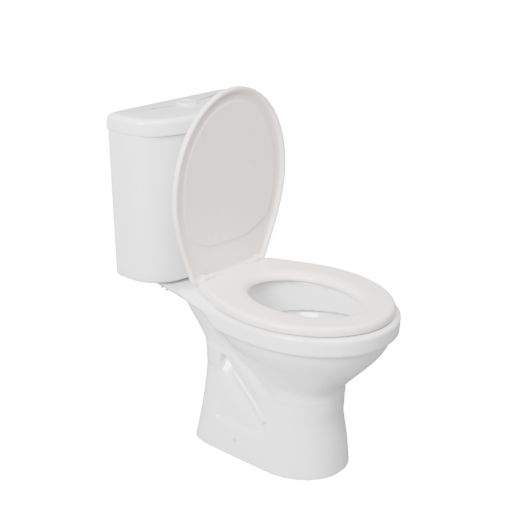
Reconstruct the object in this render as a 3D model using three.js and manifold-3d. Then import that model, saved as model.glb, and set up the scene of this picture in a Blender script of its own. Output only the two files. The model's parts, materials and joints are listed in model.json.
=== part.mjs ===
// Close coupled toilet: a ceramic pan and cistern, a plastic seat ring and lid on two pin hinges,
// a dual flush button, and the flush and fill valves inside the cistern.
// Millimetres, +Z up. X = 0 is the centre plane, -Y is the front, and the floor is z = 0.
import * as THREE from 'three';
import { mergeVertices } from 'three/addons/utils/BufferGeometryUtils.js';
import Module from 'manifold-3d';

const wasm = await Module();
wasm.setup();

// ---- driving dimensions ----------------------------------------------------------------------
const GAP = 0.3; // clearance kept between touching pieces
const BOTH_SIDES = [['left', -1], ['right', 1]];

const RIM_TOP = 382; // top of the pan's rim and of the deck behind it
const RIM_FRONT = -327;
const RIM_HALF = 191;
const RIM_MID = -100; // where the rim is widest
const BAND_HEIGHT = 48; // upright band round the rim
const BOWL_MID = -105; // centre of the bowl's mouth
const WALL = 12; // ceramic wall

const DECK_BACK = 294;
const SHELF_TOP = 366; // lowered shelf that carries the cistern
const SHELF_FRONT = 150;
const DECK_BOTTOM = 352;

const HINGE = { y: 108, z: 402.8, x: 77.5, pinRadius: 4, barrel: 8 };
const SEAT = { front: -315, back: 111.5, half: 187.6, mid: -97.6, backHalf: 127, corner: 24 };
const RING_BOTTOM = 386;
const RING_TOP = 405.5;
const HOLE = { half: 106, length: 138 };
const LID_BOTTOM = 408; // rim plane of the closed lid
const LID_EDGE = 15; // thickness of its edge
const LID_FRONT = -318.2;
const LID_BACK = 121.8;

const TANK = { bottom: 374, top: 728.3, back: 325, floor: 10, wall: 9 };
const COVER = { bottom: 728.6, top: 767, back: 327, half: 199, front: 171 };

const VALVE_Y = 255; // flush valve, cistern bolts and gasket
const BUTTON_Y = 262;
const BOLT_X = 66;
const FILL_X = 134;

const COLOURS = {
  china: ['#e8e9ec', 0.12, 0],
  seat: ['#ece9e5', 0.28, 0],
  rubber: ['#2b2b2c', 0.75, 0],
  whitePlastic: ['#dfe3e6', 0.45, 0],
  bluePlastic: ['#6f8fae', 0.45, 0],
  greyPlastic: ['#9aa0a6', 0.5, 0],
  brass: ['#b3975a', 0.35, 1],
  steel: ['#b9bcc0', 0.3, 1],
};

// ---- scene graph -----------------------------------------------------------------------------
const toilet = new THREE.Group();
toilet.name = 'close_coupled_toilet';

function addPart(name, geometry, finish, group = toilet) {
  const [color, roughness, metalness] = COLOURS[finish];
  const material = new THREE.MeshStandardMaterial({ color, roughness, metalness });
  const mesh = new THREE.Mesh(geometry, material);
  mesh.name = name;
  group.add(mesh);
  return mesh;
}

// ---- joining and cutting ---------------------------------------------------------------------
function toSolid(geometry) {
  const bare = geometry.clone();
  for (const name of Object.keys(bare.attributes)) if (name !== 'position') bare.deleteAttribute(name);
  const merged = mergeVertices(bare, 1e-4);
  const mesh = new wasm.Mesh({
    numProp: 3,
    vertProperties: new Float32Array(merged.attributes.position.array),
    triVerts: new Uint32Array(merged.index.array),
  });
  return new wasm.Manifold(mesh);
}

function toGeometry(solid) {
  const mesh = solid.getMesh();
  const geometry = new THREE.BufferGeometry();
  geometry.setAttribute('position', new THREE.BufferAttribute(mesh.vertProperties, 3));
  geometry.setIndex(new THREE.BufferAttribute(mesh.triVerts, 1));
  return geometry;
}

function fuse(...pieces) {
  const solids = pieces.map(toSolid);
  return toGeometry(solids.reduce((sum, solid) => sum.add(solid)));
}

function cut(piece, ...tools) {
  return toGeometry(tools.map(toSolid).reduce((rest, tool) => rest.subtract(tool), toSolid(piece)));
}

// ---- basic shapes ----------------------------------------------------------------------------
function box([x0, x1], [y0, y1], [z0, z1]) {
  const shape = new THREE.BoxGeometry(x1 - x0, y1 - y0, z1 - z0);
  return shape.translate((x0 + x1) / 2, (y0 + y1) / 2, (z0 + z1) / 2);
}

// A box given on the right-hand side, moved to the side asked for.
function sideBox(side, [x0, x1], ys, zs) {
  return box(side > 0 ? [x0, x1] : [-x1, -x0], ys, zs);
}

function upright(radius, x, y, [z0, z1], segments = 16) {
  const shape = new THREE.CylinderGeometry(radius, radius, z1 - z0, segments);
  return shape.rotateX(Math.PI / 2).translate(x, y, (z0 + z1) / 2);
}

function crosswise(radius, side, [x0, x1], y, z, segments = 16) {
  const shape = new THREE.CylinderGeometry(radius, radius, x1 - x0, segments);
  return shape.rotateZ(Math.PI / 2).translate(side * (x0 + x1) / 2, y, z);
}

// Turned about an upright axis, from [radius, height] pairs.
function turned(profile, x, y, segments = 20) {
  const points = profile.map(([radius, height]) => new THREE.Vector2(radius, height));
  return new THREE.LatheGeometry(points, segments).rotateX(Math.PI / 2).translate(x, y, 0);
}

function tube(outer, inner, x, y, [z0, z1], segments = 20) {
  return turned([[inner, z0], [outer, z0], [outer, z1], [inner, z1], [inner, z0]], x, y, segments);
}

// An eight-sided nut with a round bore.
function backnut(outer, bore, x, y, zs) {
  return cut(upright(outer, x, y, zs, 8), upright(bore, x, y, [zs[0] - 1, zs[1] + 1], 24));
}

function swept(radius, points, sides = 10, steps = 18) {
  const section = new THREE.Shape().absarc(0, 0, radius, 0, Math.PI * 2);
  const path = new THREE.CatmullRomCurve3(points.map((point) => new THREE.Vector3(...point)));
  return new THREE.ExtrudeGeometry(section, { steps, curveSegments: sides, extrudePath: path });
}

// ---- lofts -----------------------------------------------------------------------------------
const power = (value, exponent) => Math.sign(value) * Math.abs(value) ** exponent;

// Plan outline of two half super-ellipses that meet where the section is widest.
function plan({ front, back, half, mid, frontPower = 2.1, backPower = 2.1 }, count = 32) {
  return Array.from({ length: count }, (_, i) => {
    const turn = (2 * Math.PI * i) / count;
    const sine = Math.sin(turn);
    const exponent = 2 / (sine < 0 ? frontPower : backPower);
    const reach = sine < 0 ? mid - front : back - mid;
    return [half * power(Math.cos(turn), exponent), mid + reach * power(sine, exponent)];
  });
}

// Skin through loops of equal length; each loop is { z, points }. Open lofts are closed by fans.
function skin(loops, closed = false) {
  const count = loops[0].points.length;
  const positions = loops.flatMap(({ z, points }) => points.flatMap(([x, y]) => [x, y, z]));
  const index = [];
  const rows = closed ? loops.length : loops.length - 1;
  for (let row = 0; row < rows; row += 1) {
    const low = row * count;
    const high = ((row + 1) % loops.length) * count;
    for (let i = 0; i < count; i += 1) {
      const next = (i + 1) % count;
      index.push(low + i, low + next, high + next, low + i, high + next, high + i);
    }
  }
  if (!closed) {
    for (const [row, flip] of [[0, true], [loops.length - 1, false]]) {
      const { z, points } = loops[row];
      const centre = positions.length / 3;
      const sum = points.reduce(([sx, sy], [x, y]) => [sx + x, sy + y], [0, 0]);
      positions.push(sum[0] / count, sum[1] / count, z);
      for (let i = 0; i < count; i += 1) {
        const a = row * count + i;
        const b = row * count + (i + 1) % count;
        index.push(...(flip ? [centre, b, a] : [centre, a, b]));
      }
    }
  }
  const geometry = new THREE.BufferGeometry();
  geometry.setAttribute('position', new THREE.Float32BufferAttribute(positions, 3));
  geometry.setIndex(index);
  return geometry;
}

const loft = (sections, count) => skin(sections.map((s) => ({ z: s.z, points: plan(s, count) })));

// Moves an outline in (or out, when negative) along its own normals.
function inset(points, distance) {
  return points.map(([x, y], i) => {
    const [ax, ay] = points[(i + points.length - 1) % points.length];
    const [bx, by] = points[(i + 1) % points.length];
    const length = Math.hypot(bx - ax, by - ay);
    return [x - (distance * (by - ay)) / length, y + (distance * (bx - ax)) / length];
  });
}

const scaled = (points, factor, mid) => points.map(([x, y]) => [x * factor, mid + (y - mid) * factor]);

// ---- pan -------------------------------------------------------------------------------------
const grow = (section, by) => ({
  ...section, front: section.front - by, back: section.back + by, half: section.half + by,
});

const BAND_BOTTOM = RIM_TOP - BAND_HEIGHT;
const PEDESTAL = [
  { z: 0, front: -231, back: 139, half: 114, mid: -95, frontPower: 2.15, backPower: 6.5 },
  { z: 66, front: -222, back: 131, half: 107, mid: -95, frontPower: 2.15, backPower: 6 },
  { z: 120, front: -213, back: 129, half: 100, mid: -98, frontPower: 2.1, backPower: 5.5 },
  { z: 192, front: -207, back: 129, half: 95, mid: -102, frontPower: 2.1, backPower: 5 },
  { z: 240, front: -150, back: 129, half: 92, mid: -60, frontPower: 2.1, backPower: 5 },
];
const FUNNEL = [
  { z: 188, front: -204, back: -60, half: 90, mid: -110 },
  { z: 214, front: -222, back: -30, half: 103, mid: -110 },
  { z: 251, front: -256, back: 40, half: 127, mid: -108 },
  { z: 289, front: -289, back: 90, half: 154, mid: -104 },
  { z: 317, front: -307, back: 105, half: 171, mid: -102 },
  { z: BAND_BOTTOM, front: -313, back: 112, half: 178, mid: RIM_MID },
  { z: RIM_TOP - 10, front: -314, back: 112, half: 179, mid: RIM_MID },
];
const BAND = [
  { z: BAND_BOTTOM - 4, inset: 9 },
  { z: BAND_BOTTOM + 3, inset: 1 },
  { z: RIM_TOP - 7, inset: 0 },
  { z: RIM_TOP, inset: 6 },
].map(({ z, inset: by }) => ({
  z,
  front: RIM_FRONT + by,
  back: 250 - by,
  half: RIM_HALF - by,
  mid: RIM_MID,
  backPower: 2.25,
}));
const NECK = [
  { z: 205, front: -60, back: 122, half: 86, mid: 20, backPower: 4 },
  { z: 240, front: -60, back: 130, half: 89, mid: 20, backPower: 4 },
  { z: 272, front: -60, back: 160, half: 93, mid: 30, backPower: 3.4 },
  { z: 318, front: -60, back: 196, half: 104, mid: 30, backPower: 3.4 },
  { z: SHELF_TOP - 10, front: -60, back: 224, half: 112, mid: 40, backPower: 3.2 },
];

// A prism that runs across the pan, from its [y, z] corners and the reach to each side.
function acrossPan(corners, reach) {
  const shape = new THREE.Shape(corners.map(([y, z]) => new THREE.Vector2(y, z)));
  const prism = new THREE.ExtrudeGeometry(shape, { depth: 2 * reach, bevelEnabled: false });
  const turn = new THREE.Matrix4().makeBasis(
    new THREE.Vector3(0, 1, 0), new THREE.Vector3(0, 0, 1), new THREE.Vector3(1, 0, 0));
  return prism.applyMatrix4(turn).translate(-reach, 0, 0);
}

// The deck runs back from the rim and narrows under the cistern.
function deck() {
  const outline = (by) => new THREE.Shape([
    [158 - by, 40], [134 - by, 140], [114 - by, 226], [106 - by, DECK_BACK - 24], [90 - by, DECK_BACK - by],
    [by - 90, DECK_BACK - by], [by - 106, DECK_BACK - 24], [by - 114, 226], [by - 134, 140], [by - 158, 40],
  ].map(([x, y]) => new THREE.Vector2(x, y)));
  const slab = (by, [z0, z1]) => {
    const shape = new THREE.ExtrudeGeometry(outline(by), { depth: z1 - z0, bevelEnabled: false });
    return shape.translate(0, 0, z0);
  };
  const inletBoss = fuse(box([-34, 34], [120, VALVE_Y], [318, DECK_BOTTOM + 4]),
    upright(34, 0, VALVE_Y, [318, DECK_BOTTOM + 4]));
  return fuse(slab(8, [DECK_BOTTOM, RIM_TOP]), slab(0, [DECK_BOTTOM + 6, RIM_TOP - 6]), inletBoss);
}

// The upright band runs out behind the bowl, where the underside sweeps up to the thin deck.
function band() {
  const corners = [
    [-14, 300], [-6, 336], [14, 352], [44, DECK_BOTTOM + 10], [320, DECK_BOTTOM + 2], [320, 300],
  ];
  return cut(loft(BAND), acrossPan(corners, 200));
}

// Sunk panel in each side of the pedestal, below the slanting ridge of the trap.
function sidePanel(side) {
  const corners = [[34, 222], [-6, 172], [-52, 138], [-88, 122], [-84, 78], [74, 74], [62, 196]];
  return acrossPan(corners, 30).translate(side * 119, 0, 0);
}

const BOWL = [
  { z: 142, front: -92, back: -16, half: 32, mid: -54 },
  { z: 160, front: -112, back: -16, half: 46, mid: -60 },
  { z: 200, front: -170, back: -26, half: 78, mid: -88 },
  { z: 240, front: -214, back: -8, half: 106, mid: -96 },
  { z: 280, front: -250, back: 46, half: 130, mid: -100 },
  { z: 302, front: -268, back: 60, half: 142, mid: -104 },
];
const RIM_CHANNEL = [
  { z: 302, front: -268, back: 60, half: 142, mid: -104 },
  { z: 312, front: -284, back: 72, half: 154, mid: -104 },
  { z: 352, front: -292, back: 80, half: 162, mid: -104 },
  { z: 362, front: -284, back: 74, half: 154, mid: -104 },
];
const MOUTH = [
  { z: 300, front: -264, back: 52, half: 126, mid: BOWL_MID },
  { z: 372, front: -266, back: 54, half: 128, mid: BOWL_MID },
  { z: RIM_TOP + 1, front: -272, back: 60, half: 134, mid: BOWL_MID },
];
const TRAP_PATH = [
  [0, -52, 166], [0, -26, 152], [0, 4, 164], [0, 14, 192],
  [0, 46, 222], [0, 78, 192], [0, 80, 140], [0, 80, -4],
];
const TRAP_RADIUS = 27;

function makePan() {
  const sunk = BOTH_SIDES.map(([, side]) => sidePanel(side));
  const pedestal = cut(loft(PEDESTAL), ...sunk);
  const shelf = box([-200, 200], [SHELF_FRONT, 320], [SHELF_TOP, 400]);
  const outside = cut(fuse(pedestal, loft(FUNNEL), band(), loft(NECK), deck()), shelf);
  const bowl = loft(BOWL, 24);
  const channel = cut(loft(RIM_CHANNEL, 24), box([-12, 12], [-330, -240], [296, 366]));
  const rimWall = cut(
    loft([{ ...grow(MOUTH[0], 9), z: 312 }, { ...grow(MOUTH[1], 9), z: 364 }], 24),
    loft([{ ...MOUTH[0], z: 306 }, { ...MOUTH[1], z: 370 }], 24));
  const trap = swept(TRAP_RADIUS, TRAP_PATH);
  const shell = fuse(loft(BOWL.map((s) => ({ ...grow(s, WALL), z: s.z - WALL })), 24),
    box([-40, 40], [40, 130], [-5, 264]), box([-41, 41], [-42, 41], [112, 265]));
  const cavity = loft(PEDESTAL.slice(0, 4).map((s) => ({
    ...grow(s, -WALL - 18), z: s.z === 0 ? -1 : s.z,
  })), 24);
  const underside = cut(cavity, shell);
  const inlet = fuse(
    upright(20, 0, VALVE_Y, [342, SHELF_TOP + 2]),
    swept(16, [[0, VALVE_Y + 4, 344], [0, 170, 340], [0, 60, 336]], 10, 6));
  const recess = upright(47, 0, VALVE_Y, [SHELF_TOP - 10, SHELF_TOP + 2], 24);
  const holes = BOTH_SIDES.flatMap(([, side]) => [
    upright(7, side * HINGE.x, HINGE.y, [330, RIM_TOP + 2], 16),
    upright(6, side * BOLT_X, VALVE_Y, [340, SHELF_TOP + 2], 16),
    sideBox(side, [56, 98], [90, 270], [306, DECK_BOTTOM]),
    crosswise(4, side, [80, 130], -9, 41, 12),
  ]);
  const open = cut(outside, bowl, cut(channel, rimWall), loft(MOUTH, 24), trap, underside);
  return cut(open, inlet, recess, ...holes);
}
addPart('pan', makePan(), 'china');

// ---- cistern ---------------------------------------------------------------------------------
const tankFloor = TANK.bottom + TANK.floor;
const tankSection = (z, by) => {
  const rise = (z - TANK.bottom) / (TANK.top - TANK.bottom);
  return {
    z,
    half: 171 + 25 * rise - by,
    front: 185 - 9 * rise + by,
    back: TANK.back - by,
    mid: 288,
    frontPower: 3,
    backPower: 12,
  };
};

function makeCistern() {
  const outside = loft([
    tankSection(TANK.bottom, 11), tankSection(TANK.bottom + 3, 4), tankSection(TANK.bottom + 12, 0),
    tankSection(TANK.top, 0),
  ]);
  const inside = loft([
    tankSection(TANK.bottom + TANK.floor, TANK.wall + 10),
    tankSection(TANK.bottom + TANK.floor + 12, TANK.wall),
    tankSection(TANK.top + 1, TANK.wall),
  ]);
  return cut(outside, inside,
    upright(31, 0, VALVE_Y, [360, 400], 24),
    upright(10.5, FILL_X, VALVE_Y, [360, 400], 16),
    ...BOTH_SIDES.map(([, side]) => upright(6, side * BOLT_X, VALVE_Y, [360, 400], 16)));
}
addPart('cistern', makeCistern(), 'china');

const coverSection = (z, by) => ({
  z,
  half: COVER.half - by,
  front: COVER.front + by,
  back: COVER.back - by,
  mid: 290,
  frontPower: 3.2,
  backPower: 12,
});
const BUTTON_HOLE = 21;

function makeCisternLid() {
  const outside = loft([
    coverSection(COVER.bottom, 2), coverSection(COVER.bottom + 5, 0),
    coverSection(COVER.top - 12, 2), coverSection(COVER.top - 4, 7), coverSection(COVER.top, 16),
  ]);
  const inside = loft([
    coverSection(COVER.bottom - 1, 23), coverSection(COVER.top - 16, 26), coverSection(COVER.top - 10, 34),
  ]);
  return cut(outside, inside, upright(BUTTON_HOLE, 0, BUTTON_Y, [740, 780], 24));
}
addPart('cistern_lid', makeCisternLid(), 'china');

// ---- seat ring and seat lid ------------------------------------------------------------------
const SEAT_POINTS = 52;

// Egg-shaped front, sides that draw in towards the back, and a straight back with round corners.
function seatOutline(front, back) {
  const { half, mid, backHalf, corner } = SEAT;
  const shape = new THREE.Shape();
  shape.absellipse(0, mid, half, mid - front, Math.PI, 2 * Math.PI, false);
  shape.bezierCurveTo(half, mid + 78, backHalf + 26, back - 78, backHalf + 4, back - corner);
  shape.quadraticCurveTo(backHalf - 4, back, backHalf - corner - 4, back);
  shape.lineTo(corner + 4 - backHalf, back);
  shape.quadraticCurveTo(4 - backHalf, back, -backHalf - 4, back - corner);
  shape.bezierCurveTo(-backHalf - 26, back - 78, -half, mid + 78, -half, mid);
  return shape.getSpacedPoints(SEAT_POINTS).slice(0, SEAT_POINTS).map(({ x, y }) => [x, y]);
}

// Points of the hole that face the given outline, so that the two can be skinned together.
function holeOutline(outer, by) {
  return outer.map(([x, y]) => {
    const turn = Math.atan2((y - BOWL_MID) / HOLE.length, x / HOLE.half);
    return [(HOLE.half + by) * Math.cos(turn), BOWL_MID + (HOLE.length + by) * Math.sin(turn)];
  });
}

const ringHinge = new THREE.Group();
toilet.add(ringHinge);

function makeSeatRing() {
  const outer = seatOutline(SEAT.front, SEAT.back);
  const edge = [
    [2.5, RING_BOTTOM], [0, RING_BOTTOM + 5], [0.5, RING_TOP - 8], [4, RING_TOP - 2.5], [11, RING_TOP],
  ];
  const lip = [
    [26, RING_TOP], [14, RING_TOP - 2.5], [4, RING_TOP - 8.5], [0, RING_TOP - 15], [1, RING_BOTTOM],
  ];
  const loops = [
    ...edge.map(([by, z]) => ({ z, points: inset(outer, by) })),
    ...lip.map(([by, z]) => ({ z, points: holeOutline(outer, by) })),
  ];
  const body = skin(loops, true);
  const knuckles = BOTH_SIDES.map(([, side]) =>
    crosswise(HINGE.barrel, side, [52, 66.7], HINGE.y, HINGE.z));
  const notches = BOTH_SIDES.map(([, side]) => sideBox(side, [66.7, 106], [96, 130], [380, 410]));
  const bores = BOTH_SIDES.map(([, side]) =>
    crosswise(HINGE.pinRadius + GAP, side, [50, 110], HINGE.y, HINGE.z));
  return cut(fuse(cut(body, ...notches), ...knuckles), ...bores);
}
addPart('seat_ring', makeSeatRing(), 'seat', ringHinge);

for (const [place, side] of BOTH_SIDES) {
  for (const [end, x, y] of [['front', 104, -246], ['back', 142, 20]]) {
    const bumper = sideBox(side, [x - 9, x + 9], [y - 6, y + 6], [RIM_TOP + GAP, RING_BOTTOM - GAP]);
    addPart(`ring_bumper_${end}_${place}`, bumper, 'rubber', ringHinge);
  }
}

// The lid is shaped closed, and its group stands it up about the hinge pins.
const lidHinge = new THREE.Group();
lidHinge.position.set(0, HINGE.y, HINGE.z);
lidHinge.rotation.x = -Math.PI / 2;
const lidShape = new THREE.Group();
lidShape.position.set(0, -HINGE.y, -HINGE.z);
lidHinge.add(lidShape);
toilet.add(lidHinge);

function makeSeatLid() {
  const outer = seatOutline(LID_FRONT, LID_BACK);
  const top = LID_BOTTOM + LID_EDGE;
  const near = (by, z) => ({ z, points: inset(outer, by) });
  const far = (factor, z) => ({ z, points: scaled(outer, factor, SEAT.mid) });
  const loops = [
    far(0.45, top - 1.6), far(0.78, top - 3.4), near(18, top - 6), near(9.5, LID_BOTTOM + 4),
    near(7, LID_BOTTOM), near(1.5, LID_BOTTOM), near(0, LID_BOTTOM + 4), near(1, top - 5),
    near(5, top - 1), near(14, top + 1.5), far(0.78, top + 4), far(0.45, top + 5.4),
  ];
  const hinge = BOTH_SIDES.map(([, side]) => ({
    web: sideBox(side, [88.3, 104], [101, 118], [406, 420]),
    knuckle: crosswise(HINGE.barrel, side, [88.3, 104], HINGE.y, HINGE.z),
    notch: sideBox(side, [51, 87.5], [96, 130], [390, 412.6]),
    bore: crosswise(HINGE.pinRadius + GAP, side, [50, 102], HINGE.y, HINGE.z),
  }));
  const body = cut(skin(loops), ...hinge.map(({ notch }) => notch));
  const joined = fuse(body, ...hinge.flatMap(({ web, knuckle }) => [web, knuckle]));
  return cut(joined, ...hinge.map(({ bore }) => bore));
}
addPart('seat_lid', makeSeatLid(), 'seat', lidShape);

// ---- hinge posts, pins and their fixings -----------------------------------------------------
for (const [place, side] of BOTH_SIDES) {
  const x = side * HINGE.x;
  const post = fuse(
    upright(14, x, HINGE.y, [RIM_TOP + GAP, RIM_TOP + 3.3]),
    sideBox(side, [70, 85], [99.5, 116.5], [RIM_TOP + 2, HINGE.z]),
    crosswise(HINGE.barrel + 0.5, side, [70, 85], HINGE.y, HINGE.z),
    upright(3.8, x, HINGE.y, [312, RIM_TOP + 2], 12));
  const bore = crosswise(HINGE.pinRadius + GAP, side, [60, 95], HINGE.y, HINGE.z);
  addPart(`hinge_post_${place}`, cut(post, bore), 'seat');
  addPart(`hinge_pin_${place}`, crosswise(HINGE.pinRadius, side, [53, 101.5], HINGE.y, HINGE.z), 'steel');
  addPart(`hinge_washer_${place}`, tube(12, 4.2, x, HINGE.y, [348.5, DECK_BOTTOM - GAP], 16), 'rubber');
  const nut = fuse(
    tube(8, 4.1, x, HINGE.y, [334, 348], 12),
    box([x - 17, x - 6], [HINGE.y - 2, HINGE.y + 2], [334, 346]),
    box([x + 6, x + 17], [HINGE.y - 2, HINGE.y + 2], [334, 346]));
  addPart(`hinge_wing_nut_${place}`, nut, 'whitePlastic');
}

// ---- coupling between cistern and pan --------------------------------------------------------
const coupling = tube(60, 48, 0, VALVE_Y, [SHELF_TOP + GAP, TANK.bottom - GAP], 24);
addPart('coupling_gasket', coupling, 'rubber');
for (const [place, side] of BOTH_SIDES) {
  const x = side * BOLT_X;
  const bolt = fuse(upright(4, x, VALVE_Y, [326, tankFloor + 5], 12),
    upright(10, x, VALVE_Y, [tankFloor + 4, tankFloor + 9], 16));
  addPart(`cistern_bolt_${place}`, bolt, 'brass');
  const washer = tube(13, 4.3, x, VALVE_Y, [tankFloor + GAP, tankFloor + 3.7], 16);
  addPart(`bolt_washer_${place}`, washer, 'rubber');
  const nut = fuse(
    tube(9, 4.3, x, VALVE_Y, [337, DECK_BOTTOM - GAP], 12),
    box([x - 19, x - 7], [VALVE_Y - 2, VALVE_Y + 2], [337, 349]),
    box([x + 7, x + 19], [VALVE_Y - 2, VALVE_Y + 2], [337, 349]));
  addPart(`cistern_wing_nut_${place}`, nut, 'brass');
}

// ---- flush button ----------------------------------------------------------------------------
const BUTTON = { rim: 25.5, bore: 18.4, face: 17.6, top: 770.5, split: -5 };
addPart('button_nut', tube(27, 20.7, 0, BUTTON_Y, [748, COVER.top - 10 - GAP], 24), 'whitePlastic');

const buttonDisc = turned([
  [0, 758], [BUTTON.face, 758], [BUTTON.face, BUTTON.top - 1], [BUTTON.face - 2, BUTTON.top],
  [0, BUTTON.top],
], 0, BUTTON_Y, 24);
const BUTTONS = [
  { name: 'half', keep: [-40, BUTTON.split - 0.4], rodX: -11 },
  { name: 'full', keep: [BUTTON.split + 0.4, 40], rodX: 7 },
];
const SPRING_FOOT = 744.7; // the springs stand on the floor of the bezel
const bezel = turned([
  [0, 742], [20.4, 742], [20.4, COVER.top + GAP], [BUTTON.rim, COVER.top + GAP],
  [BUTTON.rim, COVER.top + 2.6], [BUTTON.rim - 3, COVER.top + 4.8], [BUTTON.bore, COVER.top + 4],
  [BUTTON.bore, SPRING_FOOT - GAP], [0, SPRING_FOOT - GAP],
], 0, BUTTON_Y, 24);
const rodHoles = BUTTONS.map(({ rodX }) => upright(3.2, rodX, BUTTON_Y, [730, 760], 12));
addPart('button_bezel', cut(bezel, ...rodHoles), 'whitePlastic');

const LEVER = { pivotX: 36, z: 668, thick: 6, reach: 58 };
const ROD_BOTTOM = LEVER.z + LEVER.thick + 1;

function makeButton({ name, keep, rodX }) {
  const away = keep[0] < -30 ? [keep[1], 60] : [-60, keep[0]];
  const cap = cut(buttonDisc, box(away, [BUTTON_Y - 40, BUTTON_Y + 40], [700, 790]));
  addPart(`${name}_flush_button`, cap, 'whitePlastic');
  addPart(`${name}_push_rod`, upright(2.6, rodX, BUTTON_Y, [ROD_BOTTOM, 758 - GAP], 12), 'whitePlastic');
  const steps = 4 * 8; // four turns, eight steps in each
  const coil = Array.from({ length: steps + 1 }, (_, i) => {
    const angle = (2 * Math.PI * i) / 8;
    const rise = SPRING_FOOT + 0.6 + (11.8 * i) / steps;
    return [rodX + 4.2 * Math.cos(angle), BUTTON_Y + 4.2 * Math.sin(angle), rise];
  });
  addPart(`${name}_button_spring`, swept(0.5, coil, 2, steps), 'steel');
}
BUTTONS.forEach(makeButton);

// ---- flush valve -----------------------------------------------------------------------------
const CAGE = { radius: 38, top: 653 };
const BODY_PILLARS = [[0, 33.5], [0, -33.5]];

function makeValveBody() {
  const base = turned([
    [22, 358], [29.5, 358], [29.5, tankFloor + 2.5], [CAGE.radius, tankFloor + 2.5],
    [CAGE.radius, tankFloor + 14], [24, tankFloor + 14], [22, tankFloor + 10], [22, 358],
  ], 0, VALVE_Y, 24);
  const pillars = BODY_PILLARS.map(([x, dy]) =>
    box([x - 6, x + 6], [VALVE_Y + dy - 3, VALVE_Y + dy + 3], [tankFloor + 12, CAGE.top + 2]));
  const head = fuse(
    tube(CAGE.radius, 17, 0, VALVE_Y, [CAGE.top, CAGE.top + 5], 24),
    ...BOTH_SIDES.flatMap(([, side]) => [
      sideBox(side, [33, 39], [VALVE_Y - 12, VALVE_Y - 8], [CAGE.top + 3, LEVER.z + 8]),
      sideBox(side, [33, 39], [VALVE_Y + 8, VALVE_Y + 12], [CAGE.top + 3, LEVER.z + 8]),
    ]));
  return fuse(base, ...pillars, head);
}
addPart('flush_valve_body', makeValveBody(), 'whitePlastic');
const valveWasher = tube(40, 29.9, 0, VALVE_Y, [TANK.bottom - 3.5, TANK.bottom - GAP], 24);
addPart('flush_valve_washer', valveWasher, 'rubber');
addPart('flush_valve_backnut', backnut(43, 29.9, 0, VALVE_Y, [358, TANK.bottom - 3.8]), 'whitePlastic');

// The overflow tube carries the seal at its foot and a yoke that the levers lift.
function makeValveCore() {
  const stem = turned([
    [10, tankFloor + 17], [27, tankFloor + 17.8], [27, tankFloor + 21], [13, tankFloor + 23], [13, 640],
    [10, 640], [10, tankFloor + 17],
  ], 0, VALVE_Y, 24);
  const bar = cut(
    box([-62, 62], [VALVE_Y - 5, VALVE_Y + 5], [606, 611]),
    upright(11.5, 0, VALVE_Y, [600, 620]));
  const hooks = [[-1, 14], [1, 5.5]].flatMap(([side, lift]) => [
    sideBox(side, [59, 62], [VALVE_Y - 5, VALVE_Y + 5], [608, LEVER.z + LEVER.thick + lift]),
    sideBox(side, [52, 62], [VALVE_Y - 5, VALVE_Y + 5],
      [LEVER.z + LEVER.thick + lift - 3, LEVER.z + LEVER.thick + lift]),
  ]);
  return fuse(stem, bar, ...hooks);
}
addPart('flush_valve_core', makeValveCore(), 'bluePlastic');
addPart('flush_valve_seal', turned([
  [10.5, tankFloor + 14.4], [29, tankFloor + 14.4], [29, tankFloor + 16.4], [10.5, tankFloor + 16.4],
  [10.5, tankFloor + 14.4],
], 0, VALVE_Y, 24), 'rubber');

// A cylinder along Y, for a pin or its bore.
function foreAft(radius, length, x, z) {
  return new THREE.CylinderGeometry(radius, radius, length, 12).translate(x, VALVE_Y, z);
}

for (const { name, rodX } of BUTTONS) {
  const side = Math.sign(rodX);
  const inner = Math.abs(rodX) - 5;
  const heights = [LEVER.z, LEVER.z + LEVER.thick];
  const arm = sideBox(side, [inner, LEVER.reach], [VALVE_Y - 5, VALVE_Y + 5], heights);
  const pad = sideBox(side, [inner, inner + 11], [VALVE_Y - 5, VALVE_Y + 13], heights);
  const pivot = [side * LEVER.pivotX, LEVER.z + LEVER.thick / 2];
  addPart(`${name}_flush_lever`, cut(fuse(arm, pad), foreAft(1.8, 40, ...pivot)), 'bluePlastic');
  addPart(`${name}_lever_pin`, foreAft(1.5, 15.4, ...pivot), 'steel');
}

// ---- fill valve ------------------------------------------------------------------------------
const FILL = {
  top: 640, cupLow: 470, cupHigh: 560, rodX: FILL_X - 20, armX: FILL_X - 44, armZ: 655.5,
};
addPart('fill_valve_body', turned([
  [5, 342], [9.8, 342], [9.8, tankFloor + 0.4], [12.5, tankFloor + 0.4], [12.5, tankFloor + 10],
  [11, tankFloor + 12], [11, FILL.top], [5, FILL.top], [5, 342],
], FILL_X, VALVE_Y, 16), 'whitePlastic');
const fillWasher = tube(16, 10.2, FILL_X, VALVE_Y, [TANK.bottom - 3.5, TANK.bottom - GAP], 12);
addPart('fill_valve_washer', fillWasher, 'rubber');
addPart('fill_valve_backnut', backnut(15, 10.2, FILL_X, VALVE_Y, [360, TANK.bottom - 3.8]), 'whitePlastic');
addPart('fill_valve_head', fuse(
  upright(15, FILL_X, VALVE_Y, [FILL.top + GAP, FILL.top + 26]),
  box([FILL_X - 48, FILL_X], [VALVE_Y - 10, VALVE_Y - 7], [FILL.top + 10, FILL.top + 22]),
  box([FILL_X - 48, FILL_X], [VALVE_Y + 7, VALVE_Y + 10], [FILL.top + 10, FILL.top + 22])), 'greyPlastic');
addPart('float_cup', tube(26, 11.8, FILL_X, VALVE_Y, [FILL.cupLow, FILL.cupHigh]), 'whitePlastic');
const floatRod = upright(2, FILL.rodX, VALVE_Y, [FILL.cupHigh + GAP, FILL.armZ - 3.1], 10);
addPart('float_rod', floatRod, 'greyPlastic');
const armEnds = [FILL.armX - 14, FILL.armX + 26];
const arm = box(armEnds, [VALVE_Y - 5, VALVE_Y + 5], [FILL.armZ - 2.5, FILL.armZ + 2.5]);
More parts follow.
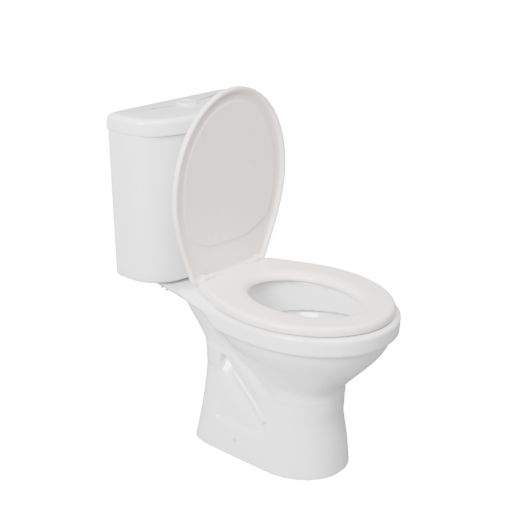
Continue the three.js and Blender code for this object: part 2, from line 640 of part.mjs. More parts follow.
addPart('float_arm', cut(arm, foreAft(1.8, 20, FILL.armX, FILL.armZ)), 'bluePlastic');
addPart('float_arm_pin', foreAft(1.5, 13.2, FILL.armX, FILL.armZ), 'steel');

export default toilet;
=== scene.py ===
"""Close coupled toilet: the finished look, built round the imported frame.

Sizes inside the classes are millimetres, as in the workshop drawing. Meshes are made in metres in the
row frame: +Z up, -Y to the front of the bowl, and X = 0 on the centre plane.
"""

from __future__ import annotations

import json
import logging
import math
from dataclasses import dataclass, field
from enum import Enum
from typing import Callable, Sequence, Union

import bmesh
import bpy
import numpy as np
from mathutils import Matrix, Vector

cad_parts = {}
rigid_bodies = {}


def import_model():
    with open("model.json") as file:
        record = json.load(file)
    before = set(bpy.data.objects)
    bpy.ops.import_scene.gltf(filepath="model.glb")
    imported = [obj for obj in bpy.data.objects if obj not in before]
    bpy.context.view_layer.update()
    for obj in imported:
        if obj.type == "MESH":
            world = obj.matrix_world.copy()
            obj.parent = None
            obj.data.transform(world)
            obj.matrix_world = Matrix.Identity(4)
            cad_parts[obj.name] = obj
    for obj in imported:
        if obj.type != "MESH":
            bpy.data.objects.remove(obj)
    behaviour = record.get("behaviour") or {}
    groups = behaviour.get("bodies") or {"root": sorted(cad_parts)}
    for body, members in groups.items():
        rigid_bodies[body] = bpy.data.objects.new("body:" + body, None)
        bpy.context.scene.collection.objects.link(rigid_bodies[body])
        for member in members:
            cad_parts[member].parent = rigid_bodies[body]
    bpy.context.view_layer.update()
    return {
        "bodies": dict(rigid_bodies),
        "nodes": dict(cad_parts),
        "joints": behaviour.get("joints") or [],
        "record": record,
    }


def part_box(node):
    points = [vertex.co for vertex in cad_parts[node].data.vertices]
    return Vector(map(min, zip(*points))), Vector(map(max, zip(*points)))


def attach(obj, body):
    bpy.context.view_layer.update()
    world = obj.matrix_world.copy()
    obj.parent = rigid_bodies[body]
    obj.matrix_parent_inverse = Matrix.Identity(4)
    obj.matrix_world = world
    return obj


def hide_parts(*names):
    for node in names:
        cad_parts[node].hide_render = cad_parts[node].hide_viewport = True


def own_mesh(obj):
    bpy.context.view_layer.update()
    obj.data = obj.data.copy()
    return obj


log = logging.getLogger("toilet")

MM = 0.001
SIDES: dict[str, int] = {"left": -1, "right": 1}

Array = np.ndarray
Point = Sequence[float]
Tree = bpy.types.NodeTree
Socket = bpy.types.NodeSocket
Value = Union[bpy.types.NodeSocket, float]
MIX_COLOURS = (6, 7)  # the two colour inputs of a Mix node
MIX_RESULT = 2  # its colour output


class Slot(Enum):
    """The record's material slots."""

    CHINA = "china"
    SEAT = "seat_plastic"
    WHITE = "white_plastic"
    BLUE = "blue_plastic"
    GREY = "grey_plastic"
    RUBBER = "rubber"
    BUMPER = "bumper_rubber"
    BRASS = "brass"
    STEEL = "steel"


# ---- shader node groups ------------------------------------------------------------------------
def feed(tree: Tree, socket: Socket, value: Value | tuple) -> None:
    """Links a socket to an input, or sets the input to a plain value.

    Args:
        tree: the node tree that both belong to.
        socket: the input to fill.
        value: a socket to link to it, or a plain value.
    """
    if isinstance(value, bpy.types.NodeSocket):
        tree.links.new(value, socket)
    else:
        socket.default_value = value


def new_group(name: str, inputs: Sequence[tuple[str, str, float]],
              outputs: Sequence[tuple[str, str]]) -> tuple[Tree, bpy.types.Node, bpy.types.Node]:
    """Makes an empty shader node group.

    Args:
        name: the group's name.
        inputs: (name, socket type, default) of each input; the default is ignored on vectors.
        outputs: (name, socket type) of each output.

    Returns:
        The node tree, its input node and its output node.
    """
    tree = bpy.data.node_groups.new(name, "ShaderNodeTree")
    for label, kind, value in inputs:
        socket = tree.interface.new_socket(label, in_out="INPUT", socket_type=kind)
        if kind == "NodeSocketFloat":
            socket.default_value = value
    for label, kind in outputs:
        tree.interface.new_socket(label, in_out="OUTPUT", socket_type=kind)
    return tree, tree.nodes.new("NodeGroupInput"), tree.nodes.new("NodeGroupOutput")


def noise(tree: Tree, vector: Socket, scale: Value, detail: float, roughness: float = 0.5) -> Socket:
    """Adds a noise texture.

    Args:
        tree: the node tree to add to.
        vector: where the texture is read.
        scale: its scale, per metre.
        detail: how many octaves it has.
        roughness: how strong the finer octaves are.

    Returns:
        Its Fac output.
    """
    node = tree.nodes.new("ShaderNodeTexNoise")
    node.inputs["Detail"].default_value = detail
    node.inputs["Roughness"].default_value = roughness
    tree.links.new(vector, node.inputs["Vector"])
    feed(tree, node.inputs["Scale"], scale)
    return node.outputs["Fac"]


def math_node(tree: Tree, operation: str, *values: Value) -> Socket:
    """Adds a Math node.

    Args:
        tree: the node tree to add to.
        operation: the node's operation.
        values: its inputs, as sockets or numbers.

    Returns:
        Its output.
    """
    node = tree.nodes.new("ShaderNodeMath")
    node.operation = operation
    for socket, value in zip(node.inputs, values):
        feed(tree, socket, value)
    return node.outputs[0]


def map_range(tree: Tree, value: Socket, low: float, high: float, to_low: Value = 0.0,
              to_high: Value = 1.0) -> Socket:
    """Adds a clamped Map Range node.

    Args:
        tree: the node tree to add to.
        value: the socket to map.
        low: the low end.
        high: the high end.
        to_low: what the low end becomes.
        to_high: what the high end becomes.

    Returns:
        Its output.
    """
    node = tree.nodes.new("ShaderNodeMapRange")
    bounds = {"From Min": low, "From Max": high, "To Min": to_low, "To Max": to_high}
    for name, bound in bounds.items():
        feed(tree, node.inputs[name], bound)
    tree.links.new(value, node.inputs["Value"])
    return node.outputs["Result"]


def cloudiness_group() -> Tree:
    """A slow, soft mask: how the tone of glaze or plastic drifts over a surface.

    Returns:
        The group.
    """
    tree, source, result = new_group(
        "tone_cloud", [("Vector", "NodeSocketVector", 0), ("Scale", "NodeSocketFloat", 6)],
        [("Mask", "NodeSocketFloat")])
    slow = noise(tree, source.outputs["Vector"], source.outputs["Scale"], 2)
    fine_scale = math_node(tree, "MULTIPLY", source.outputs["Scale"], 9.0)
    fine = noise(tree, source.outputs["Vector"], fine_scale, 3)
    mixed = math_node(tree, "MULTIPLY_ADD", fine, 0.3, math_node(tree, "MULTIPLY", slow, 0.7))
    tree.links.new(map_range(tree, mixed, 0.32, 0.68), result.inputs["Mask"])
    return tree


def specks_group() -> Tree:
    """Sparse small specks, such as pinholes in a glaze or dust in a moulding.

    Returns:
        The group.
    """
    tree, source, result = new_group(
        "fine_specks", [("Vector", "NodeSocketVector", 0), ("Scale", "NodeSocketFloat", 240)],
        [("Mask", "NodeSocketFloat")])
    cells = tree.nodes.new("ShaderNodeTexVoronoi")
    tree.links.new(source.outputs["Vector"], cells.inputs["Vector"])
    tree.links.new(source.outputs["Scale"], cells.inputs["Scale"])
    dots = map_range(tree, cells.outputs["Distance"], 0.05, 0.12, 1.0, 0.0)
    where = map_range(tree, noise(tree, source.outputs["Vector"], 35.0, 2), 0.56, 0.66)
    tree.links.new(math_node(tree, "MULTIPLY", dots, where), result.inputs["Mask"])
    return tree


def relief_group() -> Tree:
    """Surface relief: slow ripples of a poured or moulded skin, with a fine grain on top.

    Returns:
        The group.
    """
    tree, source, result = new_group(
        "skin_relief",
        [("Vector", "NodeSocketVector", 0), ("Ripple Scale", "NodeSocketFloat", 14),
         ("Grain Scale", "NodeSocketFloat", 900), ("Grain Share", "NodeSocketFloat", 0.2)],
        [("Height", "NodeSocketFloat")])
    ripple = noise(tree, source.outputs["Vector"], source.outputs["Ripple Scale"], 1)
    grain = noise(tree, source.outputs["Vector"], source.outputs["Grain Scale"], 2, 0.6)
    weighted = math_node(tree, "MULTIPLY", grain, source.outputs["Grain Share"])
    tree.links.new(math_node(tree, "ADD", ripple, weighted), result.inputs["Height"])
    return tree


def scuff_group() -> Tree:
    """Long faint scratches from cleaning and handling.

    Returns:
        The group.
    """
    tree, source, result = new_group(
        "handling_scuffs", [("Vector", "NodeSocketVector", 0), ("Scale", "NodeSocketFloat", 60)],
        [("Mask", "NodeSocketFloat")])
    stretch = tree.nodes.new("ShaderNodeVectorMath")
    stretch.operation = "MULTIPLY"
    stretch.inputs[1].default_value = (1.0, 0.08, 0.3)
    tree.links.new(source.outputs["Vector"], stretch.inputs[0])
    streaks = noise(tree, stretch.outputs["Vector"], source.outputs["Scale"], 4, 0.65)
    patches = map_range(tree, noise(tree, source.outputs["Vector"], 9.0, 2), 0.48, 0.62)
    lines = map_range(tree, streaks, 0.6, 0.68)
    tree.links.new(math_node(tree, "MULTIPLY", lines, patches), result.inputs["Mask"])
    return tree


class SharedNodes:
    """The shader node groups that all finishes share."""

    def __init__(self) -> None:
        """Builds each group once."""
        self.cloud = cloudiness_group()
        self.specks = specks_group()
        self.relief = relief_group()
        self.scuffs = scuff_group()


# ---- finishes ----------------------------------------------------------------------------------
@dataclass(frozen=True)
class Finish:
    """One finish: its colours, gloss, relief and wear. Scales are per metre."""

    slot: Slot
    colour: tuple[float, float, float]
    tint: tuple[float, float, float]
    roughness: float
    roughness_spread: float = 0.05
    metallic: float = 0.0
    coat: float = 0.0
    coat_roughness: float = 0.05
    ior: float = 1.5
    cloud_scale: float = 6.0
    ripple_scale: float = 14.0
    grain_scale: float = 900.0
    grain_share: float = 0.2
    relief_mm: float = 0.05
    speck_scale: float = 240.0
    speck_tone: float = 0.9
    scuff_scale: float = 60.0
    scuff_roughness: float = 0.12
    subsurface: float = 0.0

    def build(self, shared: SharedNodes) -> bpy.types.Material:
        """Makes the procedural material.

        Args:
            shared: the node groups that every finish uses.

        Returns:
            The material, read from Object coordinates.
        """
        material = bpy.data.materials.new(f"{self.slot.value}_finish")
        material.use_nodes = True
        tree = material.node_tree
        shader = tree.nodes["Principled BSDF"]
        where = tree.nodes.new("ShaderNodeTexCoord").outputs["Object"]

        def group(group_tree: Tree, **values: float) -> bpy.types.Node:
            """Places a shared group with its own values.

            Args:
                group_tree: the group.
                values: each named input's value.

            Returns:
                The node.
            """
            node = tree.nodes.new("ShaderNodeGroup")
            node.node_tree = group_tree
            tree.links.new(where, node.inputs["Vector"])
            for label, value in values.items():
                node.inputs[label.replace("_", " ")].default_value = value
            return node

        cloud = group(shared.cloud, Scale=self.cloud_scale).outputs["Mask"]
        specks = group(shared.specks, Scale=self.speck_scale).outputs["Mask"]
        scuffs = group(shared.scuffs, Scale=self.scuff_scale).outputs["Mask"]
        relief = group(shared.relief, Ripple_Scale=self.ripple_scale, Grain_Scale=self.grain_scale,
                       Grain_Share=self.grain_share).outputs["Height"]
        tone = self.mix(tree, cloud, (*self.colour, 1), (*self.tint, 1))
        dark = tuple(channel * self.speck_tone for channel in self.colour)
        tree.links.new(self.mix(tree, specks, tone, (*dark, 1)), shader.inputs["Base Color"])
        spread = map_range(tree, cloud, 0, 1, self.roughness - self.roughness_spread,
                           self.roughness + self.roughness_spread)
        worn = math_node(tree, "MULTIPLY_ADD", scuffs, self.scuff_roughness, spread)
        tree.links.new(worn, shader.inputs["Roughness"])
        bump = tree.nodes.new("ShaderNodeBump")
        bump.inputs["Strength"].default_value = 0.6
        bump.inputs["Distance"].default_value = self.relief_mm * MM
        tree.links.new(relief, bump.inputs["Height"])
        tree.links.new(bump.outputs["Normal"], shader.inputs["Normal"])
        shader.inputs["Metallic"].default_value = self.metallic
        shader.inputs["Coat Weight"].default_value = self.coat
        shader.inputs["Coat Roughness"].default_value = self.coat_roughness
        shader.inputs["IOR"].default_value = self.ior
        shader.inputs["Subsurface Weight"].default_value = self.subsurface
        shader.inputs["Subsurface Scale"].default_value = 2 * MM
        return material

    @staticmethod
    def mix(tree: Tree, factor: Socket, first: Value | tuple, second: Value | tuple) -> Socket:
        """Mixes two colours, given as sockets or values.

        Args:
            tree: the node tree to add to.
            factor: the share of the second colour.
            first: the first colour.
            second: the second colour.

        Returns:
            The colour output.
        """
        node = tree.nodes.new("ShaderNodeMix")
        node.data_type = "RGBA"
        tree.links.new(factor, node.inputs["Factor"])
        for place, colour in zip(MIX_COLOURS, (first, second)):
            feed(tree, node.inputs[place], colour)
        return node.outputs[MIX_RESULT]


FINISHES = (
    Finish(Slot.CHINA, (0.83, 0.84, 0.852), (0.80, 0.812, 0.828), 0.14, 0.035, coat=0.4, ior=1.52,
           coat_roughness=0.09, cloud_scale=3.5, ripple_scale=16, relief_mm=0.10, grain_share=0.03,
           speck_scale=150, speck_tone=0.86, scuff_roughness=0.04),
    Finish(Slot.SEAT, (0.85, 0.80, 0.772), (0.83, 0.778, 0.75), 0.24, 0.04, ior=1.46, cloud_scale=4,
           relief_mm=0.06, grain_share=0.12, scuff_scale=45, speck_tone=0.93, subsurface=0.04),
    Finish(Slot.WHITE, (0.74, 0.75, 0.76), (0.70, 0.71, 0.72), 0.36, 0.05, grain_share=0.5),
    Finish(Slot.BLUE, (0.09, 0.20, 0.42), (0.075, 0.17, 0.37), 0.40, 0.05, grain_share=0.6),
    Finish(Slot.GREY, (0.30, 0.32, 0.34), (0.26, 0.28, 0.30), 0.45, 0.06, grain_share=0.6),
    Finish(Slot.RUBBER, (0.022, 0.022, 0.024), (0.034, 0.033, 0.032), 0.72, 0.08, relief_mm=0.1,
           grain_share=1.0, speck_tone=1.9),
    Finish(Slot.BUMPER, (0.62, 0.61, 0.58), (0.56, 0.55, 0.52), 0.55, 0.06, grain_share=0.7,
           subsurface=0.1),
    Finish(Slot.BRASS, (0.66, 0.46, 0.18), (0.52, 0.35, 0.13), 0.34, 0.09, metallic=1.0,
           cloud_scale=30, speck_tone=0.6, scuff_scale=180),
    Finish(Slot.STEEL, (0.58, 0.58, 0.59), (0.50, 0.50, 0.52), 0.26, 0.07, metallic=1.0,
           cloud_scale=30, speck_tone=0.7, scuff_scale=220),
)


# ---- mesh tools --------------------------------------------------------------------------------
class Workshop:
    """Holds the finishes and takes finished pieces into the frame."""

    def __init__(self) -> None:
        """Builds every material."""
        shared = SharedNodes()
        self.materials = {finish.slot: finish.build(shared) for finish in FINISHES}

    def dress(self, piece: bpy.types.Object, slot: Slot) -> None:
        """Gives a piece one finish on its whole surface.

        Args:
            piece: the mesh object.
            slot: the finish to give it.
        """
        piece.data.materials.clear()
        piece.data.materials.append(self.materials[slot])
        for polygon in piece.data.polygons:
            polygon.material_index = 0

    def deliver(self, piece: bpy.types.Object, slot: Slot, body: str, *nodes: str) -> bpy.types.Object:
        """Dresses a finished piece and hands it to the frame.

        Args:
            piece: the mesh object, at the origin.
            slot: the record's slot that its finish comes from.
            body: the CAD body that it rides on.
            nodes: the CAD nodes that it stands for.

        Returns:
            The same object.
        """
        self.dress(piece, slot)
        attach(piece, body)
        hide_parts(*nodes)
        log.info("%s: %d faces on %s", piece.name, len(piece.data.polygons), body)
        return piece


def new_object(name: str, mesh: bpy.types.Mesh) -> bpy.types.Object:
    """Links a mesh to the scene as a new object.

    Args:
        name: the new object's name.
        mesh: its mesh.

    Returns:
        The object.
    """
    piece = bpy.data.objects.new(name, mesh)
    bpy.context.scene.collection.objects.link(piece)
    return piece


def mesh_object(name: str, points: Array, faces: Sequence[Sequence[int]]) -> bpy.types.Object:
    """Makes an object from points in millimetres and a list of faces.

    Args:
        name: the new object's name.
        points: the points, in order.
        faces: lists of point numbers.

    Returns:
        The object.
    """
    mesh = bpy.data.meshes.new(name)
    mesh.from_pydata((np.asarray(points, float) * MM).tolist(), [], faces)
    mesh.validate()
    return new_object(name, mesh)


def tidy_normals(piece: bpy.types.Object, merge_mm: float = 0.001) -> None:
    """Merges doubled points and turns every face outwards.

    Args:
        piece: the mesh object.
        merge_mm: points closer than this become one.
    """
    work = bmesh.new()
    work.from_mesh(piece.data)
    bmesh.ops.remove_doubles(work, verts=work.verts, dist=merge_mm * MM)
    bmesh.ops.recalc_face_normals(work, faces=work.faces)
    work.to_mesh(piece.data)
    work.free()


def soften(piece: bpy.types.Object, angle: float = 35.0) -> None:
    """Shades smooth, keeping edges sharper than the angle crisp."""
    piece.data.shade_smooth()
    piece.data.set_sharp_from_angle(angle=math.radians(angle))


def settle(piece: bpy.types.Object) -> None:
    """Turns the evaluated object into a plain mesh and removes its modifiers.

    Args:
        piece: the mesh object.
    """
    bpy.context.view_layer.update()
    graph = bpy.context.evaluated_depsgraph_get()
    finished = bpy.data.meshes.new_from_object(piece.evaluated_get(graph), depsgraph=graph)
    piece.modifiers.clear()
    piece.data = finished


def skin(rows: Array, closed: bool = False) -> tuple[Array, list[tuple[int, ...]]]:
    """Joins rings of points with quads.

    Args:
        rows: rings by points by 3, each ring counter-clockwise seen from its last ring's side.
        closed: joins the last ring to the first; otherwise both ends are closed by a fan.

    Returns:
        The points and the faces.
    """
    count, around = rows.shape[:2]
    points = rows.reshape(-1, 3)
    faces: list[tuple[int, ...]] = []
    for row in range(count if closed else count - 1):
        low, high = row * around, ((row + 1) % count) * around
        for i in range(around):
            j = (i + 1) % around
            faces.append((low + i, low + j, high + j, high + i))
    if closed:
        return points, faces
    centres = np.array([rows[0].mean(0), rows[-1].mean(0)])
    first, last = len(points), len(points) + 1
    top = (count - 1) * around
    for i in range(around):
        j = (i + 1) % around
        faces.append((first, j, i))
        faces.append((last, top + i, top + j))
    return np.vstack([points, centres]), faces


def ring(outline: Array, height: float | Array) -> Array:
    """Lifts a flat outline to a height, as 3-D points."""
    return np.column_stack([outline, np.broadcast_to(height, len(outline))])


def inset(outline: Array, distance: float) -> Array:
    """Moves a counter-clockwise outline inwards along its normals.

    Args:
        outline: the plan points, counter-clockwise.
        distance: how far to move in.

    Returns:
        The moved outline.
    """
    along = np.roll(outline, -1, 0) - np.roll(outline, 1, 0)
    along /= np.linalg.norm(along, axis=1)[:, None]
    return outline + distance * np.column_stack([-along[:, 1], along[:, 0]])


def evenly(points: Array, count: int) -> Array:
    """Spaces points evenly along a closed outline.

    Args:
        points: the outline.
        count: how many points to give.

    Returns:
        The new points.
    """
    ends = np.vstack([points, points[:1]])
    steps = np.linalg.norm(np.diff(ends, axis=0), axis=1)
    travelled = np.concatenate([[0], np.cumsum(steps)])
    wanted = np.linspace(0, travelled[-1], count, endpoint=False)
    return np.column_stack([np.interp(wanted, travelled, ends[:, axis]) for axis in (0, 1)])


def lathe(name: str, profile: Sequence[tuple[float, float]], x: float, y: float,
          around: int = 96) -> bpy.types.Object:
    """Turns a closed [radius, height] profile about an upright axis.

    Args:
        name: the new object's name.
        profile: (radius, height) points.
        x: place along X.
        y: place along Y.
        around: points in one turn.

    Returns:
        The object.
    """
    turn = np.linspace(0, 2 * np.pi, around, endpoint=False)
    rows = np.array([np.column_stack([x + r * np.cos(turn), y + r * np.sin(turn), np.full(around, z)])
                     for r, z in profile])
    piece = mesh_object(name, *skin(rows, closed=True))
    tidy_normals(piece)
    return piece


def rounded_profile(corners: Sequence[tuple[float, float, float]], steps: int = 6) -> list[tuple]:
    """Rounds the corners of a closed profile.

    Args:
        corners: (radius, height, corner radius) of each corner in order.
        steps: points on each rounded corner.

    Returns:
        The (radius, height) points.
    """
    points: list[tuple[float, float]] = []
    for i, (r, z, fillet) in enumerate(corners):
        here = np.array([r, z])
        if fillet <= 0:
            points.append((r, z))
            continue
        before = np.array(corners[i - 1][:2]) - here
        after = np.array(corners[(i + 1) % len(corners)][:2]) - here
        start = here + before / np.linalg.norm(before) * fillet
        end = here + after / np.linalg.norm(after) * fillet
        for t in np.linspace(0, 1, steps):
            points.append(tuple((1 - t) ** 2 * start + 2 * t * (1 - t) * here + t**2 * end))
    return points


def cylinder(start: Point, end: Point, radius: float, around: int = 48) -> bpy.types.Object:
    """A closed round bar between two points.

    Args:
        start: centre of one end.
        end: centre of the other end.
        radius: the bar's radius.
        around: how many sides it has.

    Returns:
        The object.
    """
    a, b = Vector(start) * MM, Vector(end) * MM
    work = bmesh.new()
    turn = (b - a).to_track_quat("Z", "Y").to_matrix().to_4x4()
    bmesh.ops.create_cone(work, cap_ends=True, segments=around, radius1=radius * MM,
                          radius2=radius * MM, depth=(b - a).length,
                          matrix=Matrix.Translation((a + b) / 2) @ turn)
    mesh = bpy.data.meshes.new("bar")
    work.to_mesh(mesh)
    work.free()
    return new_object("bar", mesh)


def block(low: Point, high: Point, edge: float = 0.0) -> bpy.types.Object:
    """A closed box between two corners, with rounded edges if an edge radius is given.

    Args:
        low: its lowest corner.
        high: its highest corner.
        edge: radius of the rounded edges.

    Returns:
        The object.
    """
    work = bmesh.new()
    low_corner, high_corner = Vector(low) * MM, Vector(high) * MM
    size = high_corner - low_corner
    bmesh.ops.create_cube(work, size=1.0, matrix=Matrix.Translation((low_corner + high_corner) / 2)
                          @ Matrix.Diagonal((*size, 1)))
    if edge:
        bmesh.ops.bevel(work, geom=work.edges[:], offset=edge * MM, segments=3, affect="EDGES",
                        profile=0.5)
    mesh = bpy.data.meshes.new("block")
    work.to_mesh(mesh)
    work.free()
    return new_object("block", mesh)


def combine(piece: bpy.types.Object, tools: Sequence[bpy.types.Object], operation: str,
            solver: str = "EXACT") -> None:
    """Joins or cuts a piece with other closed objects, which are used up.

    Args:
        piece: the mesh object.
        tools: the closed objects to join or cut with.
        operation: UNION or DIFFERENCE.
        solver: which Boolean solver to use.
    """
    for tool in tools:
        modifier = piece.modifiers.new("shape", "BOOLEAN")
        modifier.operation = operation
        modifier.solver = solver
        modifier.object = tool
    settle(piece)
    for tool in tools:
        bpy.data.objects.remove(tool)


def refined(node: str, edge_mm: float = 0.5) -> bpy.types.Object:
    """A merged copy of a CAD node with its edges softened.

    Args:
        node: the CAD node's name.
        edge_mm: the edge radius.

    Returns:
        The new object.
    """
    source = bpy.data.objects[node]
    piece = new_object(f"{node}_finished", source.data.copy())
    work = bmesh.new()
    work.from_mesh(piece.data)
    bmesh.ops.remove_doubles(work, verts=work.verts, dist=0.005 * MM)
    bmesh.ops.dissolve_limit(work, angle_limit=math.radians(1.5), verts=work.verts, edges=work.edges)
    work.to_mesh(piece.data)
    work.free()
    if edge_mm:
        bevel = piece.modifiers.new("edge", "BEVEL")
        bevel.width = edge_mm * MM
        bevel.segments = 2
        bevel.limit_method = "ANGLE"
        bevel.angle_limit = math.radians(40)
        settle(piece)
    soften(piece, 32)
    return piece


# ---- geometry node trees -----------------------------------------------------------------------
class NodeTool:
    """A Geometry Nodes tree with named inputs, run once on a host object."""

    def __init__(self, name: str, inputs: Sequence[tuple[str, str]]) -> None:
        """Makes the tree with a geometry input, the named inputs and a geometry output.

        Args:
            name: the tree's name.
            inputs: (name, socket type) of each input.
        """
        self.tree = bpy.data.node_groups.new(name, "GeometryNodeTree")
        face = self.tree.interface
        face.new_socket("Geometry", in_out="INPUT", socket_type="NodeSocketGeometry")
        self.ids = {label: face.new_socket(label, in_out="INPUT", socket_type=kind).identifier
                    for label, kind in inputs}
        face.new_socket("Geometry", in_out="OUTPUT", socket_type="NodeSocketGeometry")
        self.source = self.tree.nodes.new("NodeGroupInput")
        self.result = self.tree.nodes.new("NodeGroupOutput")

    def node(self, kind: str, **links: Value | Point) -> bpy.types.Node:
        """Adds a node; each keyword is an input's name and a socket or a value.

        Args:
            kind: the node's type.
            links: each input's name, with a socket or a value.

        Returns:
            The node.
        """
        node = self.tree.nodes.new(kind)
        for label, value in links.items():
            feed(self.tree, node.inputs[label.replace("_", " ")], value)
        return node

    def close(self, geometry: bpy.types.NodeSocket) -> None:
        """Ends the tree in Realize Instances and Set Material.

        Args:
            geometry: what the tree has made.
        """
        solid = self.node("GeometryNodeRealizeInstances", Geometry=geometry)
        painted = self.node("GeometryNodeSetMaterial", Geometry=solid.outputs[0],
                            Material=self.source.outputs["Material"])
        self.tree.links.new(painted.outputs[0], self.result.inputs[0])

    def run(self, host: bpy.types.Object, **values: float | Point | bpy.types.Material) -> None:
        """Sets the inputs by identifier, evaluates the tree and keeps the plain mesh.

        Args:
            host: the object to run it on.
            values: each named input's value.
        """
        modifier = host.modifiers.new("made", "NODES")
        modifier.node_group = self.tree
        for label, value in values.items():
            modifier[self.ids[label.replace("_", " ")]] = value
        settle(host)


def spring_tool() -> NodeTool:
    """A tree that winds a round wire into an upright spring.

    Returns:
        The tool.
    """
    tool = NodeTool("coil_spring", [
        ("Turns", "NodeSocketFloat"), ("Coil Radius", "NodeSocketFloat"), ("Height", "NodeSocketFloat"),
        ("Wire Radius", "NodeSocketFloat"), ("Place", "NodeSocketVector"),
        ("Material", "NodeSocketMaterial")])
    given = tool.source.outputs
    helix = tool.node("GeometryNodeCurveSpiral", Resolution=28, Rotations=given["Turns"],
                      Start_Radius=given["Coil Radius"], End_Radius=given["Coil Radius"],
                      Height=given["Height"])
    wire = tool.node("GeometryNodeCurvePrimitiveCircle", Resolution=12, Radius=given["Wire Radius"])
    coil = tool.node("GeometryNodeCurveToMesh", Curve=helix.outputs[0], Profile_Curve=wire.outputs[0],
                     Fill_Caps=True)
    smooth = tool.node("GeometryNodeSetShadeSmooth", Geometry=coil.outputs[0])
    placed = tool.node("GeometryNodeTransform", Geometry=smooth.outputs[0], Translation=given["Place"])
    tool.close(placed.outputs[0])
    return tool


def pad_tool() -> NodeTool:
    """A tree that sets a soft moulded pad on each point of its host.

    Returns:
        The tool.
    """
    tool = NodeTool("soft_pads", [("Size", "NodeSocketVector"), ("Material", "NodeSocketMaterial")])
    given = tool.source.outputs
    pad = tool.node("GeometryNodeMeshCube", Size=given["Size"], Vertices_X=4, Vertices_Y=4,
                    Vertices_Z=3)
    soft = tool.node("GeometryNodeSubdivisionSurface", Mesh=pad.outputs[0], Level=2, Edge_Crease=0.35)
    smooth = tool.node("GeometryNodeSetShadeSmooth", Geometry=soft.outputs[0])
    points = tool.node("GeometryNodeMeshToPoints", Mesh=given["Geometry"])
    copies = tool.node("GeometryNodeInstanceOnPoints", Points=points.outputs[0],
                       Instance=smooth.outputs[0])
    tool.close(copies.outputs[0])
    return tool


# ---- solid fields ------------------------------------------------------------------------------
# A field is a function of points in millimetres: below zero inside the solid and above zero outside.
FAR_MM = 60.0
PROBE_MM = 0.2
SETTLING_PASSES = 3


def smooth_steps(z: Array, heights: Sequence[float], values: Sequence[float]) -> Array:
    """Interpolates section values over height with smooth tangents, flat past both ends.

    Args:
        z: where to read the curve.
        heights: heights of the sections.
        values: a value for each section.

    Returns:
        The value at each height.
    """
    zs, vs = np.asarray(heights, float), np.asarray(values, float)
    slopes = np.gradient(vs, zs)
    t_all = np.clip(z, zs[0], zs[-1])
    i = np.clip(np.searchsorted(zs, t_all, side="right") - 1, 0, len(zs) - 2)
    width = zs[i + 1] - zs[i]
    t = (t_all - zs[i]) / width
    return ((2 * t**3 - 3 * t**2 + 1) * vs[i] + (t**3 - 2 * t**2 + t) * width * slopes[i]
            + (3 * t**2 - 2 * t**3) * vs[i + 1] + (t**3 - t**2) * width * slopes[i + 1])


def soft_max(a: Array, b: Array, radius: float) -> Array:
    """The larger of two fields, with the crease rounded to the radius."""
    h = np.maximum(radius - np.abs(a - b), 0) / radius
    return np.maximum(a, b) + h * h * radius / 4


def soft_min(a: Array, b: Array, radius: float) -> Array:
    """The smaller of two fields, with the crease filled to the radius."""
    return -soft_max(-a, -b, radius)


@dataclass(frozen=True)
class Section:
    """A plan section: two half super-ellipses that meet where it is widest."""

    z: float
    front: float
    back: float
    half: float
    mid: float
    front_power: float = 2.1
    back_power: float = 2.1


@dataclass(frozen=True)
class Loft:
    """A solid through plan sections, as a distance-like field."""

    sections: tuple[Section, ...]

    def plan(self, p: Array) -> Array:
        """Distance in plan from the loft's wall at each point, negative inside.

        Args:
            p: the points, one in each row.

        Returns:
            The distance at each point.
        """
        x, y, z = p.T
        zs = [s.z for s in self.sections]

        def at(name: str) -> Array:
            """One section value at each point's height."""
            return smooth_steps(z, zs, [getattr(s, name) for s in self.sections])

        mid, half = at("mid"), at("half")
        ahead = y < mid
        reach = np.where(ahead, mid - at("front"), at("back") - mid)
        power = np.where(ahead, at("front_power"), at("back_power"))
        u, v = np.abs(x) / half + 1e-6, np.abs(y - mid) / reach + 1e-6
        level = (u**power + v**power) ** (1 / power)
        slope = np.hypot((u / level) ** (power - 1) / half, (v / level) ** (power - 1) / reach)
        return (level - 1) / np.maximum(slope, 1 / 400)

    def field(self, p: Array, top: float | None = None, bottom: float | None = None,
              edge: float = 5.0) -> Array:
        """The plan field closed at a top and a bottom, both rounded to the edge radius.

        Args:
            p: the points, one in each row.
            top: the height of its top, or None for the last section's.
            bottom: the height of its foot, or None for the first section's.
            edge: radius of both rounded ends.

        Returns:
            The field at each point.
        """
        high = self.sections[-1].z if top is None else top
        low = self.sections[0].z if bottom is None else bottom
        walls = soft_max(self.plan(p), p[:, 2] - high, edge)
        return soft_max(walls, low - p[:, 2], edge)


def within(p: Array, low: Point, high: Point, shape: Callable[[Array], Array]) -> Array:
    """Works a field out only inside a box, and calls it far away outside.

    Args:
        p: the points, one in each row.
        low: the box's lowest corner.
        high: the box's highest corner.
        shape: the field to work out there.

    Returns:
        The field at each point.
    """
    inside = np.all((p > low) & (p < high), axis=1)
    result = np.full(len(p), FAR_MM)
    result[inside] = shape(p[inside])
    return result


def rod(p: Array, path: Array, radius: float | Array) -> Array:
    """Distance from a round rod along a line of points; the radius may change along it.

    Args:
        p: the points, one in each row.
        path: the points of its centre line.
        radius: its radius, or one for each point.

    Returns:
        The field at each point.
    """
    radii = np.broadcast_to(radius, len(path))
    best = np.full(len(p), 1e3)
    for a, b, ra, rb in zip(path[:-1], path[1:], radii[:-1], radii[1:]):
        d = b - a
        t = np.clip((p - a) @ d / (d @ d), 0, 1)
        gap = np.linalg.norm(p - a - t[:, None] * d, axis=1) - (ra + (rb - ra) * t)
        best = np.minimum(best, gap)
    return best


